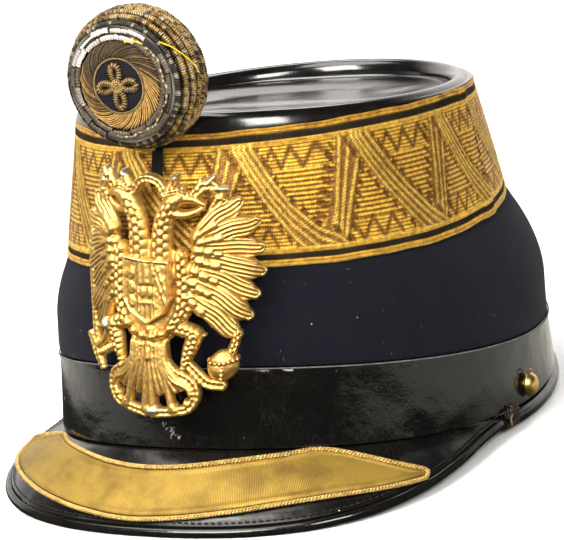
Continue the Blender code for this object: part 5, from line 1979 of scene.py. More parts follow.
R, Q, S, B, V, L = Cast.ROUND, Cast.QUILL, Cast.SCALES, Cast.BEADS, Cast.SCROLL, Cast.LINKS
FEATHERS = (
    ((18.4, 62.6), (32.2, 72.4)), ((19.0, 60.4), (37.6, 65.6)), ((18.6, 58.0), (38.8, 57.0)),
    ((18.0, 55.0), (39.0, 49.2)), ((17.0, 51.4), (36.6, 41.8)), ((15.6, 48.0), (34.2, 35.0)),
    ((13.6, 43.6), (30.4, 29.2)),
)
FLUTES = (
    (0.4, 0.5, 3.8, 1.7), (1.7, 3.2, 10.0, 1.3), (3.0, 5.4, 10.6, 1.3), (3.9, 7.6, 3.9, 1.5),
    (4.6, 9.0, 10.8, 1.3), (5.4, 11.2, 11.6, 1.4),
    (6.1, 13.2, 12.9, 1.4),
)
STROKES = (
    Stroke(R, (
        8, 49, 3.4, 2.6, 13, 51.4, 3.4, 2.8, 17.4, 50.4, 2.8, 3.0, 20.4, 54.4, 2.2, 3.0, 20.6, 58.6, 2.1, 3.1,
        18.8, 62.6, 2.0, 3.4,
    )),
    Stroke(V, (16.6, 51.4, 1.1, 3.6, 19.6, 54.4, 1.2, 3.8, 20.2, 58.6, 1.2, 3.9, 18.8, 62.4, 1.2, 4.0)),
    Stroke(R, (18.4, 62.2, 2.3, 4.0, 19.0, 63.4, 2.1, 4.0), silver=0.4),
    Stroke(R, (1.0, 49, 13, 2.2, 0.6, 38, 12.4, 2.2), Side.LEFT),
    Stroke(R, (0.6, 36, 7.6, 2.5, 0.2, 24, 5.4, 2.4, 0, 20, 5.0, 2.4), Side.LEFT),
    Stroke(S, (0.4, 31.6, 5.4, 3.0, 0.2, 26.0, 4.6, 3.1), Side.LEFT, 2.4),
    Stroke(L, (
        13.0, 56.6, 2.5, 3.7, 13.2, 46.6, 2.7, 3.7, 12.2, 38.0, 2.5, 3.8, 9.2, 33.0, 2.2, 3.9,
    ), pitch=2.8),
    Stroke(B, (9.6, 33.4, 2.0, 4.2, 5.6, 30.4, 2.1, 4.4, 0.6, 29.2, 2.1, 4.5), pitch=3.6),
    Stroke(B, (
        16.8, 51.0, 1.7, 3.6, 17.0, 45.6, 1.8, 3.6, 15.4, 39.4, 1.7, 3.4, 12.8, 34.8, 1.4, 3.2,
    ), pitch=2.4),
    Stroke(S, (
        5.6, 55, 4.1, 3.3, 6.0, 62, 3.9, 3.6, 7.0, 68, 3.6, 3.8, 9.0, 72, 3.4, 4.0, 11.2, 74.8, 3.2, 4.2,
    ), pitch=3.1),
    Stroke(R, (10.8, 74.6, 3.3, 4.2, 13.4, 75.8, 2.9, 4.4, 15.8, 75.6, 2.1, 4.0)),
    Stroke(V, (9.8, 77.6, 0.9, 4.6, 13.0, 78.2, 1.0, 4.8, 16.0, 76.9, 0.9, 4.4)),
    Stroke(R, (14.2, 76.3, 0.8, 5.1, 14.4, 76.4, 0.8, 5.1)),
    Stroke(R, (15.6, 75.6, 2.1, 4.0, 18.6, 74.8, 1.6, 3.4, 21.2, 73.2, 1.0, 2.8)),
    Stroke(R, (10.6, 70.8, 2.0, 3.4, 14.6, 70.0, 1.6, 3.1, 18.4, 70.8, 1.2, 2.8, 21.0, 72.2, 0.9, 2.4)),
    Stroke(B, (8.8, 78.8, 1.2, 4.0, 14.6, 79.2, 1.2, 4.0), pitch=1.7, silver=0.5),
    Stroke(R, (10.2, 79.6, 1.9, 3.6, 11.4, 81.6, 1.7, 3.6)),
    Stroke(R, (11.7, 82.2, 1.4, 4.0, 12.4, 82.9, 1.2, 4.0), silver=0.7),
    Stroke(V, (
        8.2, 77.2, 1.4, 3.2, 6.2, 81.0, 1.6, 3.4, 3.6, 82.5, 1.6, 3.5, 2.4, 82.6, 1.6, 3.5,
    ), silver=0.4),
    Stroke(V, (
        17.4, 75.6, 1.6, 2.9, 19.4, 77.8, 2.0, 3.1, 22.6, 79.6, 2.1, 3.3, 25.6, 78.2, 2.1, 3.3,
        26.6, 74.8, 2.0, 3.1, 24.6, 71.4, 1.8, 2.8, 22.6, 68.4, 1.4, 2.5,
    )),
    Stroke(R, (19.6, 78.4, 1.3, 3.1, 20.6, 81.6, 0.8, 2.5)),
    Stroke(R, (22.6, 80.0, 1.4, 3.4, 25.2, 82.2, 1.0, 2.9), silver=0.6),
    Stroke(R, (25.8, 78.2, 1.5, 3.4, 29.4, 77.8, 1.0, 2.8), silver=0.6),
    Stroke(R, (26.4, 75.0, 1.5, 3.2, 29.2, 73.8, 0.8, 2.4)),
    Stroke(S, (8.0, 32.2, 2.2, 2.9, 13.0, 31.2, 2.9, 3.5, 17.2, 29.7, 2.5, 3.9), pitch=2.0),
    Stroke(S, (16.8, 29.2, 2.9, 3.9, 14.8, 25.0, 2.7, 3.6, 12.8, 20.0, 1.8, 3.1), pitch=2.0),
    Stroke(R, (17.8, 29.7, 1.6, 3.4, 20.0, 29.2, 0.7, 2.4)),
    Stroke(B, (12.9, 20.6, 1.6, 3.1, 11.6, 15.8, 1.5, 2.9), pitch=1.6),
    Stroke(V, (2.2, 25.6, 1.2, 3.9, 4.0, 23.8, 1.4, 4.0, 2.6, 21.8, 1.2, 3.9)),
    Stroke(R, (0.2, 24.6, 1.6, 4.1, 0.1, 22.2, 1.8, 4.2), Side.LEFT),
    Stroke(V, (
        6.0, 27.4, 1.0, 2.8, 6.4, 21.0, 1.2, 3.0, 9.6, 16.6, 1.6, 3.3, 13.4, 14.4, 2.0, 3.5,
        15.7, 11.4, 2.0, 3.5, 15.8, 7.8, 1.9, 3.4, 13.6, 4.7, 1.7, 3.2, 10.6, 3.5, 1.6, 3.0,
    )),
    Stroke(R, (
        4.8, 25.0, 0.8, 3.4, 5.4, 19.6, 0.9, 3.6, 8.6, 14.6, 1.1, 3.8, 13.0, 12.2, 1.2, 3.9,
        14.4, 9.6, 1.0, 3.6,
    )),
    Stroke(V, (12.6, 4.2, 1.7, 3.0, 6.0, 3.2, 1.7, 3.0, 0.4, 3.0, 1.9, 3.1)),
    Stroke(R, (12.9, 6.6, 1.3, 3.5, 13.6, 6.2, 1.2, 3.5)),
    Stroke(R, (8.2, 5.2, 1.7, 3.4, 8.6, 4.2, 1.6, 3.4)),
    Stroke(R, (-0.6, 3.9, 2.2, 3.8, 1.4, 4.0, 2.0, 3.8), Side.LEFT, silver=0.7),
    Stroke(B, (-13.6, 25.8, 1.7, 3.2, -23.8, 21.4, 1.6, 3.1), Side.LEFT, 1.6),
    Stroke(V, (
        -27.6, 27.6, 1.5, 3.0, -25.2, 25.0, 1.9, 3.4, -23.8, 21.4, 1.7, 3.3, -22.2, 16.6, 0.9, 2.4,
    ), Side.LEFT),
    Stroke(R, (-17.4, 31.4, 1.7, 3.2, -19.8, 26.6, 1.5, 3.1, -23.4, 24.4, 1.5, 3.0), Side.LEFT),
    Stroke(R, (-17.2, 32.2, 2.3, 4.6, -17.8, 33.0, 2.2, 4.6), Side.LEFT, silver=0.7),
    Stroke(V, (-24.4, 26.0, 1.4, 2.8, -25.2, 48.0, 1.3, 2.8, -24.9, 70.0, 1.0, 2.4), Side.LEFT),
    Stroke(V, (
        12.8, 21.2, 1.2, 2.8, 15.6, 17.6, 1.9, 3.0, 20.0, 13.0, 2.0, 3.0, 25.0, 11.8, 2.0, 3.0,
    ), Side.LEFT),
    Stroke(R, (25.2, 18.0, 5.0, 4.6, 26.2, 18.8, 5.0, 4.6), Side.LEFT),
    Stroke(B, (21.2, 20.4, 1.0, 5.0, 25.8, 19.8, 1.0, 5.7, 30.6, 20.8, 1.0, 5.0), Side.LEFT, 1.5),
    Stroke(B, (25.0, 13.6, 1.0, 4.9, 25.6, 18.4, 1.0, 5.7), Side.LEFT, 1.5),
    Stroke(L, (28.8, 23.0, 1.8, 3.2, 30.2, 26.4, 1.7, 3.0, 30.6, 29.4, 1.5, 2.8), Side.LEFT, 1.9),
)


@dataclass
class EagleBadge:
    """The cast double-headed eagle: one relief of strokes over a fine grid, bent around the front."""

    cell: float = 0.30
    span: tuple[float, float, float, float] = (-42.0, 42.0, -1.0, 90.5)
    rim: float = 0.7
    bend: float = 60.0
    foot: tuple[float, float, float] = (-1.0, -109.8, 12.0)
    lean: float = math.radians(8.5)
    twist: float = math.radians(-3.0)
    shield_top: float = 4.6
    shield: tuple[tuple[float, float], ...] = (
        (-7.8, 57.4), (1.2, 55.9), (9.8, 55.4), (9.7, 41.5), (7.2, 37.0), (0.9, 33.4), (-5.6, 37.6),
        (-8.4, 42.2),
    )
    lumps: Ripple = Ripple(71, 2.4, 30)
    x: Array = None
    y: Array = None
    height: Array = None
    inside: Array = None
    silver: Array = None

    def lay_out(self) -> None:
        """Start with an empty field."""
        low_x, high_x, low_y, high_y = self.span
        columns, rows = np.arange(low_x, high_x, self.cell), np.arange(low_y, high_y, self.cell)
        self.x, self.y = np.meshgrid(columns, rows, indexing="ij")
        self.height = np.zeros_like(self.x)
        self.inside = np.full_like(self.x, -9.0)
        self.silver = np.zeros_like(self.x)

    def near(self, path: Array, reach: float) -> tuple:
        """The part of the grid near a path, with its distance, side, run and the path's size there."""
        low, high = path[:, :2].min(axis=0) - reach, path[:, :2].max(axis=0) + reach
        i0, i1 = np.searchsorted(self.x[:, 0], (low[0], high[0]))
        j0, j1 = np.searchsorted(self.y[0], (low[1], high[1]))
        window = (slice(i0, i1), slice(j0, j1))
        spot = stacked(self.x[window], self.y[window])[..., None, :]
        start = path[:-1, :2]
        way = path[1:, :2] - start
        size = np.maximum((way**2).sum(axis=1), 1e-9)
        part = np.clip(((spot - start) * way).sum(axis=-1) / size, 0, 1)
        off = spot - (start + part[..., None] * way)
        distance = np.linalg.norm(off, axis=-1)
        nearest = distance.argmin(axis=-1)
        pick = nearest[..., None]
        run = np.concatenate([[0.0], np.cumsum(np.sqrt(size))])
        where = np.take_along_axis(part, pick, -1)[..., 0]
        along = run[nearest] + where * np.sqrt(size)[nearest]
        left = np.take_along_axis(way[:, 0] * off[..., 1] - way[:, 1] * off[..., 0], pick, -1)[..., 0]
        sized = [path[nearest, k] * (1 - where) + path[nearest + 1, k] * where for k in (2, 3)]
        return window, np.take_along_axis(distance, pick, -1)[..., 0], np.sign(left), along, run[-1], *sized

    def press(self, window: tuple, inside: Array, height: Array, silver: float | Array = 0.0) -> None:
        """Join one form to the field: the higher wins."""
        height = np.where(inside > -0.4, height, 0.0)
        wins = height > self.height[window]
        self.height[window] = np.where(wins, height, self.height[window])
        self.silver[window] = np.where(wins, silver, self.silver[window])
        self.inside[window] = np.maximum(self.inside[window], inside)

    def model(self, stroke: Stroke, path: Array) -> None:
        """Model one stroke into the field."""
        window, far, side, along, length, half, top = self.near(path, float(path[:, 2].max()) + 1.0)
        share = np.clip(far / half, 0, 1)
        inside = half - far
        rise = np.sqrt(1 - share**2)
        kind, pitch = stroke.kind, stroke.pitch
        silver = stroke.silver
        if kind is Cast.QUILL:
            rise = np.clip(1 - share**4.5, 0, 1) ** 0.6
            wavy = side * far + 0.22 * np.sin(0.45 * along + 5 * pitch)
            top = top + 0.30 * np.cos(FULL * wavy / 1.45)
            top = top + 0.45 * side * share + 0.25 * np.sin(along * 0.33 + 3 * pitch)
            silver = 0.45 * np.clip((along - length + 1.6) / 3.5, 0, 1) ** 2
        elif kind is Cast.SCALES:
            top = top + 0.9 * self.scales(side * share, along / pitch, 3 if half.max() > 3.0 else 2) - 0.5
        elif kind is Cast.BEADS:
            step = (np.mod(along, pitch) - pitch / 2) / (pitch / 2)
            rise = np.sqrt(np.clip(1 - share**2 - 0.75 * step**2, 0.04, 1))
        elif kind is Cast.LINKS:
            top = top + 1.2 * self.scales(side * share, along / pitch, 2) - 0.7
        elif kind is Cast.SCROLL:
            rise = np.clip(1 - share**3, 0, 1) ** 0.5 - 0.28 * np.exp(-((share / 0.42) ** 2))
            rise = rise + 0.03 * np.cos(along * 3.4)
        self.press(window, inside, self.rim + (top - self.rim) * rise, silver)

    @staticmethod
    def scales(across: Array, along: Array, columns: int) -> Array:
        """Rounded scales in staggered columns, from 0 between them to 1 on top of each."""
        u = (across + 1) / 2 * columns
        v = np.mod(along + 0.5 * np.mod(np.floor(u), 2), 1) - 0.5
        u = np.mod(u, 1) - 0.5
        return np.sqrt(np.clip(1 - 3.2 * u**2 - 3.6 * v**2, 0, 1))

    def wings(self) -> None:
        """Long ribbed feathers and the round coverts at their roots, on both sides."""
        rng = np.random.default_rng(72)
        for mirrored in Side.BOTH.value:
            for number, ((ax, ay), (bx, by)) in enumerate(FEATHERS):
                top = 2.7 + 0.35 * (number % 2)
                out = np.array([bx - ax, by - ay]) / math.hypot(bx - ax, by - ay)
                near, tip = (bx, by) - 3.2 * out, (bx, by) + 0.6 * out
                path = (
                    ax, ay, 2.4, 2.6, (ax + bx) / 2, (ay + by) / 2 + 0.8, 3.7, top, *near, 3.8, top,
                    *tip, 2.1, top - 0.5,
                )
                feather = Stroke(Q, path, pitch=number)
                self.model(feather, feather.path(mirrored))
                for row in range(3):
                    x, y = np.array([ax, ay]) + out * (0.6 + 2.9 * row + rng.uniform(-0.4, 0.4))
                    x, y = x + rng.uniform(-0.3, 0.3), y + rng.uniform(-0.4, 0.4) - 0.5 * row
                    size, high = rng.uniform(1.6, 2.3), 3.9 - 0.2 * row
                    path = (x, y, size, high, x + 1.1 * out[0], y + 1.1 * out[1], size, high + 0.1)
                    covert = Stroke(R, path, silver=0.1)
                    self.model(covert, covert.path(mirrored))

    def tail(self) -> None:
        """The fan of fluted feathers."""
        for mirrored in Side.BOTH.value:
            for root, x, y, wide in FLUTES:
                fan = Stroke(R, (
                    root, 26.5, 0.95, 3.5, 1.06 * root, 20.0, 1.1, 3.7, 0.52 * (root + x), 14.5, 1.4, 3.6,
                    x, y, wide, 3.1,
                ))
                self.model(fan, fan.path(mirrored))

    def escutcheon(self) -> None:
        """The shield: a raised rim, three upright fields, and ovals, slanting lines and bumps in them."""
        corners = np.array(self.shield)
        far = np.full_like(self.x, 99.0)
        within = np.zeros(self.x.shape, bool)
        for (ax, ay), (bx, by) in zip(corners, np.roll(corners, -1, axis=0)):
            way = np.array([bx - ax, by - ay])
            part = np.clip(((self.x - ax) * way[0] + (self.y - ay) * way[1]) / (way @ way), 0, 1)
            far = np.minimum(far, np.hypot(self.x - ax - part * way[0], self.y - ay - part * way[1]))
            crossing = (bx - ax) * (self.y - ay) / (by - ay + 1e-9) + ax
            within ^= ((ay > self.y) != (by > self.y)) & (self.x < crossing)
        inside = np.where(within, far, -far)
        top = self.shield_top - 0.55 + 0.75 * np.exp(-(((inside - 0.75) / 0.42) ** 2))
        off, up = self.x - 0.9, self.y
        third = np.abs(off) < 2.7
        bars = np.exp(-(((np.abs(off) - 2.9) / 0.32) ** 2))
        bumps = 0.55 * dome((np.abs(off) - 1.3) / 1.15, (up - 44.6) / 1.9)
        low = np.where(up < 40.4, 0.30 * np.cos(off * 3.4), bumps) - 0.1
        plain = np.where(up > 47.0, 0.30 + 0.12 * np.cos(off * 2.4), low)
        plain = plain - 0.35 * np.exp(-(((up - 47.0) / 0.4) ** 2)) + 0.3 * np.exp(-(((up - 41.0) / 0.6) ** 2))
        rough = self.lumps.at(stacked(off, up, 0.0))
        slanting = sum(np.exp(-(((off - at + 0.34 * (up - 46.0)) / 0.5) ** 2)) for at in (5.0, 6.6))
        ovals = sum(dome((off + 5.6) / 1.5, (up - at) / 2.2) for at in (51.0, 46.2, 41.4))
        sides = 0.14 * np.clip(rough, -1, 1) + np.where(off > 0, 0.4 * slanting, 0.55 * ovals) - 0.1
        top = top + np.where(inside > 1.4, np.where(third, plain, sides) + 0.42 * bars, 0.0)
        height = np.where(inside > 0, top * np.clip(0.6 + inside, 0, 1), 0.0)
        self.press((slice(None), slice(None)), inside, height, np.where(third & (up > 47.0), 0.35, 0.0))

    def bent(self, x: Array, y: Array, height: Array) -> Array:
        """Points of the flat badge, bent around the front of the hat."""
        radius, angle = self.bend + height, x / self.bend
        across, out = radius * np.sin(angle), self.bend - radius * np.cos(angle)
        cos, sin = math.cos(self.twist), math.sin(self.twist)
        foot = self.foot
        return stacked(
            foot[0] + across * cos - out * sin,
            foot[1] + y * math.sin(self.lean) + across * sin + out * cos,
            foot[2] + y * math.cos(self.lean),
        )

    def build(self) -> bpy.types.Object:
        """Model the whole badge and make it one closed mesh."""
        self.lay_out()
        for stroke in STROKES:
            for mirrored in stroke.side.value:
                self.model(stroke, stroke.path(mirrored))
        self.wings()
        self.tail()
        self.escutcheon()
        self.height += 0.06 * self.lumps.at(stacked(self.x, self.y, self.height))
        keep = self.inside > -0.45 * self.cell
        for _ in range(3):
            quads = cells_of(keep).all(axis=-1)
            lone = np.zeros_like(keep)
            for i, j in ((0, 0), (1, 0), (1, 1), (0, 1)):
                lone[i : i + quads.shape[0], j : j + quads.shape[1]] |= quads
            keep &= lone
        grad = np.stack(np.gradient(self.inside, self.cell), axis=-1)
        size = np.maximum((grad**2).sum(axis=-1, keepdims=True), 0.25)
        whole = keep.copy()
        for axis in (0, 1):
            whole &= np.roll(keep, 1, axis) & np.roll(keep, -1, axis)
        border = keep & ~whole
        shift = np.where(border[..., None], -self.inside[..., None] * grad / size, 0.0)
        shift = shift.clip(-0.6 * self.cell, 0.6 * self.cell)
        x, y = self.x + shift[..., 0], self.y + shift[..., 1]
        height = np.where(border, np.minimum(self.height, self.rim + 0.3), self.height)
        number = np.full(keep.shape, -1)
        number[keep] = np.arange(keep.sum())
        count = int(keep.sum())
        front = cells_of(number)[quads]
        edges = np.concatenate([front[:, [k, (k + 1) % 4]] for k in range(4)])
        known = {(int(a), int(b)) for a, b in edges}
        open_edges = np.array([(a, b) for a, b in known if (b, a) not in known])
        walls = np.hstack([open_edges[:, ::-1], open_edges + count])
        back = front[:, ::-1] + count
        upper = self.bent(x[keep], y[keep], height[keep])
        lower = self.bent(x[keep], y[keep], np.zeros(count))
        maker = Maker("eagle_relief")
        maker.points = [np.vstack([upper, lower])]
        maker.faces = np.vstack([front, walls, back]).tolist()
        flat = np.tile(stacked(x[keep], y[keep]), (2, 1))
        maker.runs = [flat[np.array(maker.faces).ravel()]]
        deep = np.clip((height[keep] - self.rim) / 3.6, 0, 1)
        tints = stacked(self.silver[keep], deep, 0.0)
        maker.tints = [np.vstack([tints, tints * 0])]
        maker.kinds = [0] * len(maker.faces)
        return maker.make([EAGLE_GILT], ["eagle_badge"], sharp=75)


# ------------------------------------------------------------------ small things sewn and caught on the hat


@dataclass
class Details:
    """Buttons, thread knots, stitches, lint, a painted highlight along the band's top edge and a small tear.
    """

    stitch_pitch: float = 2.4
    stitch_inside: float = 4.5
    stitch_end: float = 74.0
    button_turn: float = 91.0
    button_height: float = 6.2
    button: Rows = (
        (-0.4, 2.6), (0.9, 2.6), (0.95, 4.05), (1.15, 4.35), (1.45, 4.42), (1.75, 4.25), (2.4, 3.95),
        (3.1, 3.4), (3.65, 2.5), (3.95, 1.4), (4.05, 0.4),
    )
    knot_turn: float = 82.6
    lint_count: int = 90
    tear: Rows = ((0.30, -1.9), (0.26, -0.6), (0.22, 1.0), (0.19, 2.2), (0.15, 3.7), (0.27, 1.9), (0.17, 0.6))

    @staticmethod
    def scatter(
        name: str, size: tuple[float, float], places: tuple[Array, Array, Array], variety: Variety,
        finish: Finish, slot: str
    ) -> bpy.types.Object:
        """Lay small bowed strips of thread on the hat.

        Args:
            name: The piece's name.
            size: Length and thickness of a strip.
            places: Where each lies, which way it points and which way is up, in the hat's frame.
            variety: How much they differ.
            finish: What they are made of.
            slot: Not used.

        Returns:
            The piece.
        """
        length, thick = size
        t = np.linspace(-1, 1, 9)
        strip = Maker(f"{name}_strip")
        path = stacked(t * length / 2, 0.0, thick * 0.6 * (1 - t * t))
        strip.tube(path, thick / 2 * np.sqrt(1.05 - t * t), sides=6)
        here, ways, outs = places
        spins = []
        for way, out in zip(unit(ways), unit(outs)):
            side = unit(np.cross(out, way))
            axes = STANDING.turning() @ np.stack([way, side, np.cross(way, side)], axis=1)
            spins.append(Matrix(axes.tolist()).to_euler()[:])
        world, lit = STANDING.world(here), np.zeros(len(here))
        return placed(name, Repeats.mesh(name, strip.local(), world, spins, lit, variety, finish))

    def stitches(self) -> bpy.types.Object:
        """The row of stitches inside the peak's rolled edge."""
        fine = np.linspace(-self.stitch_end, self.stitch_end, 1200)
        run = run_along(FORM.peak_point(fine, 1.0 - self.stitch_inside / FORM.peak_length(fine), 0.0))
        turns = np.interp(np.arange(1.0, run[-1], self.stitch_pitch), run, fine)
        part = 1.0 - self.stitch_inside / FORM.peak_length(turns)
        here = FORM.peak_point(turns, part, 0.0)
        ways = FORM.peak_point(turns + 0.3, part, 0.0) - here
        outs = np.cross(ways, FORM.peak_point(turns, part + 0.02, 0.0) - here)
        outs *= np.sign(outs[:, 2:])
        variety = Variety((0.06,) * 3, (0.9, 1.1), 4)
        return self.scatter("peak_stitches", (1.7, 0.45), (here, ways, outs), variety, STITCH, "leather")

    def lint(self) -> None:
        """Short fibres caught in the cloth, and pale specks on the band."""
        rng = np.random.default_rng(81)
        for name, steps, count, size, slot in (
            ("cloth_lint", (1.08, 2.9), self.lint_count, (1.5, 0.07), "cloth"),
            ("band_specks", (0.05, 0.95), self.lint_count // 2, (0.55, 0.12), "leather"),
        ):
            step = rng.uniform(*steps, count)
            turn = rng.uniform(-math.pi, math.pi, count)
            outs = FORM.outward(step, turn)
            places = (FORM.point(step, turn, 0.12), unit(np.cross(outs, rng.normal(size=(count, 3)))), outs)
            self.scatter(name, size, places, Variety((0.1,) * 3, (0.3, 1.0), 5), LINT, slot)

    def tear_marks(self) -> bpy.types.Object:
        """The small star-shaped tear under the badge, its torn edges pale."""
        rng = np.random.default_rng(82)
        steps, turns = np.repeat(self.tear, 4, axis=0).T
        steps = steps + rng.normal(0, 0.012, len(steps))
        turns = np.radians(0.7 * turns + rng.normal(0, 0.3, len(turns)))
        here, outs = FORM.point(steps, turns, 0.1), FORM.outward(steps, turns)
        places = (here, unit(np.cross(outs, rng.normal(size=here.shape))), outs)
        variety = Variety((0.2,) * 3, (0.4, 1.2), 6)
        return self.scatter("band_tear", (1.3, 0.3), places, variety, LINT, "leather")

    @staticmethod
    def painted_edge_highlight() -> bpy.types.Object:
        """A pale tube along the band's cut top edge that paints its highlight."""
        maker = Maker("band_raw_edge")
        edge = FORM.point(1.0, np.linspace(0, FULL, 421)[:-1], 0.30)
        # painted highlight: the pale tint stands in for the light on the band's top edge
        maker.tube(edge, 0.26, sides=6, closed=True, tint=0.42)
        return maker.make([LINT], sharp=80)

    def domed_button(self, way: int) -> bpy.types.Object:
        """One domed button with its wire loop, on the wearer's left for 1 and right for -1."""
        turn = math.radians(self.button_turn) * way
        seat = FORM.point(0.0, turn, 0.0, self.button_height)
        up = np.array([0.0, 0.0, 1.0])
        out = unit(FORM.outward(0.5, np.array(turn)) * (1.0 - up))
        side = unit(np.cross(up, out))
        turns = np.linspace(0, FULL, 49)[:, None]
        rows = np.array(self.button)[:, None]
        points = seat + out * rows[..., :1] + (side * np.cos(turns) + up * np.sin(turns)) * rows[..., 1:]
        hand = "left" if way > 0 else "right"
        maker = Maker(f"button_{hand}")
        maker.sheet(points, np.zeros((len(rows), 49, 2)), round_v=True, tint=0.0, capped=True)
        loop = np.linspace(0.2, 3.4, 30)[:, None]
        wire = seat + out * (1.1 + 0.5 * np.sin(loop)) + side * (3.0 * np.cos(loop))
        wire = wire + up * (2.0 + 3.6 * np.sin(loop))
        maker.tube(wire, 0.22, sides=6, tint=0.0)
        return maker.make([BUTTON_GILT], [f"side_button_{hand}"], sharp=50)

    def corner_knot(self, way: int) -> bpy.types.Object:
        """The knot of coppery thread where the peak's rolled edge meets the back's."""
        rng = np.random.default_rng(83)
        maker = Maker(f"corner_knot_{'left' if way > 0 else 'right'}")
        centre = math.radians(self.knot_turn) * way
        out = FORM.outward(0.5, np.array(centre))
        t = np.linspace(0, 1, 28)
        for strand in range(9):
            turn = centre + 0.020 * way * (strand - 4) * 0.38 + 0.010 * np.sin(6 * t + strand)
            above = -4.8 + (6.4 + rng.uniform(-1.6, 1.2)) * t
            lift = 0.6 + 1.5 * np.sin(math.pi * t) ** 0.7 + 0.25 * (strand % 3)
            shade = np.array([0.30, 0.22, 0.12] if strand in (2, 6) else [0.035, 0.022, 0.014])
            path = FORM.point(0.0, turn, lift, above)
            maker.tube(path, 0.38, sides=6, up=out, tint=shade * rng.uniform(0.6, 1.3))
        for strand in range(3):
            turn = centre + way * 0.05 * (t - 0.5)
            above = -1.0 + 0.9 * strand + 0.5 * np.sin(3 * t)
            path = FORM.point(0.0, turn, 2.1 + 0.3 * strand, above)
            maker.tube(path, 0.34, sides=6, tint=(0.05, 0.03, 0.02))
        return maker.make([LOOSE], sharp=80)

    def build(self) -> None:
        """Make all of them."""
        for way in (1, -1):
            self.domed_button(way)
            self.corner_knot(way)
        self.stitches()
        self.lint()
        self.painted_edge_highlight()
        self.tear_marks()


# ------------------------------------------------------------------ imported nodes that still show

NODE_FINISHES = {"cockade_stem": VELVET, "cockade_tab": VELVET}


def dress_nodes(frame: dict) -> None:
    """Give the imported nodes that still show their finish.
    """
    for name, finish in NODE_FINISHES.items():
        for slot in frame["nodes"][name].material_slots:
            slot.material = finish.material()
        log.info("%s: dressed in %s", name, finish.name)


# ------------------------------------------------------------------ the studio


WHITE = (1.0, 1.0, 1.0)


@dataclass(frozen=True)
class Lamp:
    """A soft light: where it hangs around the hat, its size and its strength."""

    name: str
    azimuth: float
    elevation: float
    distance: float
    width: float
    height: float
    watts: float
    colour: Colour = WHITE


@dataclass(frozen=True)
class FloorFinish(Finish):
    """A plain pale floor; in the hat's gloss it shows as a glowing painted reflection, dark in front and
    bright behind and beside.
    """

    colour: Colour = (0.86, 0.86, 0.86)
    cloudy: Colour = (0.88, 0.88, 0.88)
    # colours of the painted reflection that glossy rays see in place of the floor
    mirrored: Colour = (0.04, 0.04, 0.036)
    painted_reflection_behind: Colour = (1.0, 0.97, 0.86)

    def dress(self, graph: Graph, shader: bpy.types.Node) -> None:
        """Write the floor's nodes."""
        place = graph.object_mm()
        cloudy = graph.noise(place, 0.004, 2.0)
        tone = graph.mix(cloudy, rgba(self.colour), rgba(self.cloudy))
        graph.fill(shader, {"Base Color": tone, "Roughness": 0.9, "Specular IOR Level": 0.1})
        part = graph.split(place)
        right = graph.between(graph.plus(graph.times(part[0], 0.6), part[1]), 60.0, 140.0)
        left = graph.between(graph.minus(graph.times(part[1], 0.3), part[0]), 145.0, 215.0)
        behind = graph.math("MAXIMUM", right, left)
        # painted reflection: glossy rays see a glow, dark in front and bright behind and beside
        dim = graph.mix(behind, rgba(self.mirrored), rgba(self.painted_reflection_behind))
        mirror = graph.add("ShaderNodeEmission", {"Color": dim, "Strength": 1.0})
        path = graph.add("ShaderNodeLightPath")
        inputs = {0: path.outputs["Is Glossy Ray"], 1: shader.outputs[0], 2: mirror.outputs[0]}
        both = graph.add("ShaderNodeMixShader", inputs)
        end = next(node for node in graph.tree.nodes if node.type == "OUTPUT_MATERIAL")
        graph.feed(end.inputs["Surface"], both.outputs[0])


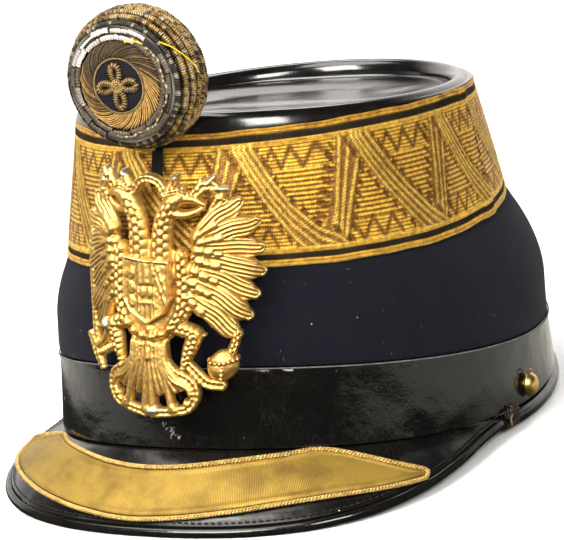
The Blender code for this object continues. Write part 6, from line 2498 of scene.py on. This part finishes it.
@dataclass
class Studio:
    """The camera, the floor and the lights."""

    aim: tuple[float, float, float] = (-1.504, -7.054, 38.955)
    azimuth: float = 28.325
    elevation: float = 12.594
    roll: float = -6.090
    distance: float = 1157.8
    lens: float = 202.07
    floor_half: float = 6.0
    backdrop_azimuth: float = 208.0
    room: Colour = (0.035, 0.035, 0.035)
    card: Colour = (1.60, 1.53, 1.47)
    lamps: tuple[Lamp, ...] = (
        Lamp("key", -13.0, 38.0, 1.5, 0.8, 0.8, 34.0, (1.0, 0.97, 0.92)),
        Lamp("front", 48.0, 30.0, 1.6, 0.6, 0.6, 19.0, (1.0, 0.97, 0.92)),
        Lamp("over_left", -58.0, 70.0, 1.4, 1.2, 0.9, 17.0, (1.0, 0.95, 0.88)),
        Lamp("back", 200.0, 50.0, 1.7, 1.2, 0.5, 12.0),
    )

    def camera(self) -> bpy.types.Object:
        """The camera at the photograph's angle."""
        az, el, roll = (math.radians(a) for a in (self.azimuth, self.elevation, self.roll))
        back = np.array([math.sin(az) * math.cos(el), -math.cos(az) * math.cos(el), math.sin(el)])
        right = np.array([math.cos(az), math.sin(az), 0.0])
        up = np.cross(back, right)
        turned_right = right * math.cos(roll) + up * math.sin(roll)
        turned_up = -right * math.sin(roll) + up * math.cos(roll)
        position = STANDING.world(np.array(self.aim) + back * self.distance)
        turning = STANDING.turning()
        axes = [turning @ axis for axis in (turned_right, turned_up, back)]
        data = bpy.data.cameras.new("camera")
        data.lens = self.lens
        data.sensor_width = 36.0
        data.clip_end = 50.0
        camera = linked("camera", data)
        rows = [[*(float(axis[k]) for axis in axes), float(position[k])] for k in range(3)]
        camera.matrix_world = Matrix(rows + [[0, 0, 0, 1]])
        bpy.context.scene.camera = camera
        return camera

    def floor(self) -> bpy.types.Object:
        """The pale floor that the hat stands on."""
        mesh = bpy.data.meshes.new("floor")
        half = self.floor_half
        corners = [(-half, -half, 0), (half, -half, 0), (half, half, 0), (-half, half, 0)]
        mesh.from_pydata(corners, [], [(0, 1, 2, 3)])
        mesh.materials.append(FloorFinish("floor").material())
        floor = linked("floor", mesh)
        floor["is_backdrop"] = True
        return floor

    def light(self, lamp: Lamp, centre: Vector) -> bpy.types.Object:
        """Hang one lamp and aim it at the hat."""
        data = bpy.data.lights.new(lamp.name, "AREA")
        data.shape = "RECTANGLE"
        data.size, data.size_y = lamp.width, lamp.height
        data.energy = lamp.watts
        data.color = lamp.colour
        az, el = math.radians(lamp.azimuth), math.radians(lamp.elevation)
        way = Vector((math.sin(az) * math.cos(el), -math.cos(az) * math.cos(el), math.sin(el)))
        light = linked(lamp.name, data)
        aimed = way.to_track_quat("Z", "Y").to_matrix().to_4x4()
        light.matrix_world = Matrix.Translation(centre + way * lamp.distance) @ aimed
        return light

    def sky(self) -> None:
        """A white room: full in the picture, softer as light and dimmer still in reflections."""
        world = bpy.data.worlds.new("studio")
        bpy.context.scene.world = world
        world.use_nodes = True
        graph = Graph(world.node_tree)
        world.node_tree.nodes.clear()
        path = graph.add("ShaderNodeLightPath").outputs
        way = graph.split(graph.add("ShaderNodeTexCoord").outputs["Generated"])
        azimuth = math.radians(self.backdrop_azimuth)
        facing = graph.plus(graph.times(way[0], math.sin(azimuth)), graph.times(way[1], -math.cos(azimuth)))
        card = graph.times(graph.between(facing, 0.35, 0.75), graph.between(way[2], 0.65, 0.35))
        mirrored = graph.mix(card, rgba(self.room), rgba(self.card))
        seen, soft, gloss = (
            graph.add("ShaderNodeBackground", {"Color": colour, "Strength": strength}).outputs[0]
            for colour, strength in ((rgba(WHITE), 1.0), (rgba(WHITE), 0.5), (mirrored, 1.0))
        )
        first = graph.add("ShaderNodeMixShader", {0: path["Is Glossy Ray"], 1: soft, 2: gloss}).outputs[0]
        second = graph.add("ShaderNodeMixShader", {0: path["Is Camera Ray"], 1: first, 2: seen}).outputs[0]
        graph.feed(graph.add("ShaderNodeOutputWorld").inputs["Surface"], second)

    def build(self, low: Vector, high: Vector) -> None:
        """Set up the whole studio around the hat's box."""
        centre = (low + high) / 2
        self.camera()
        self.floor()
        for lamp in self.lamps:
            self.light(lamp, centre)
        self.sky()
        bpy.context.scene.view_settings.view_transform = "Standard"
        log.info("studio: %d lamps", len(self.lamps))


# ------------------------------------------------------------------ the whole hat


def main() -> None:
    """Build the hat's looks around its frame."""
    logging.basicConfig(level=logging.INFO, format="%(name)s: %(message)s")
    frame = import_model()
    STANDING.settle(*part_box("base_band"))
    log.info("standing shift %s mm", np.round(STANDING.shift, 3))
    Studio().build(*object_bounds())
    for part in (Body(), Top(), Peak(), Crescent(), CrownLace(), Cockade(), EagleBadge(), Details()):
        part.build()
    dress_nodes(frame)


if __name__ == "__main__":
    main()
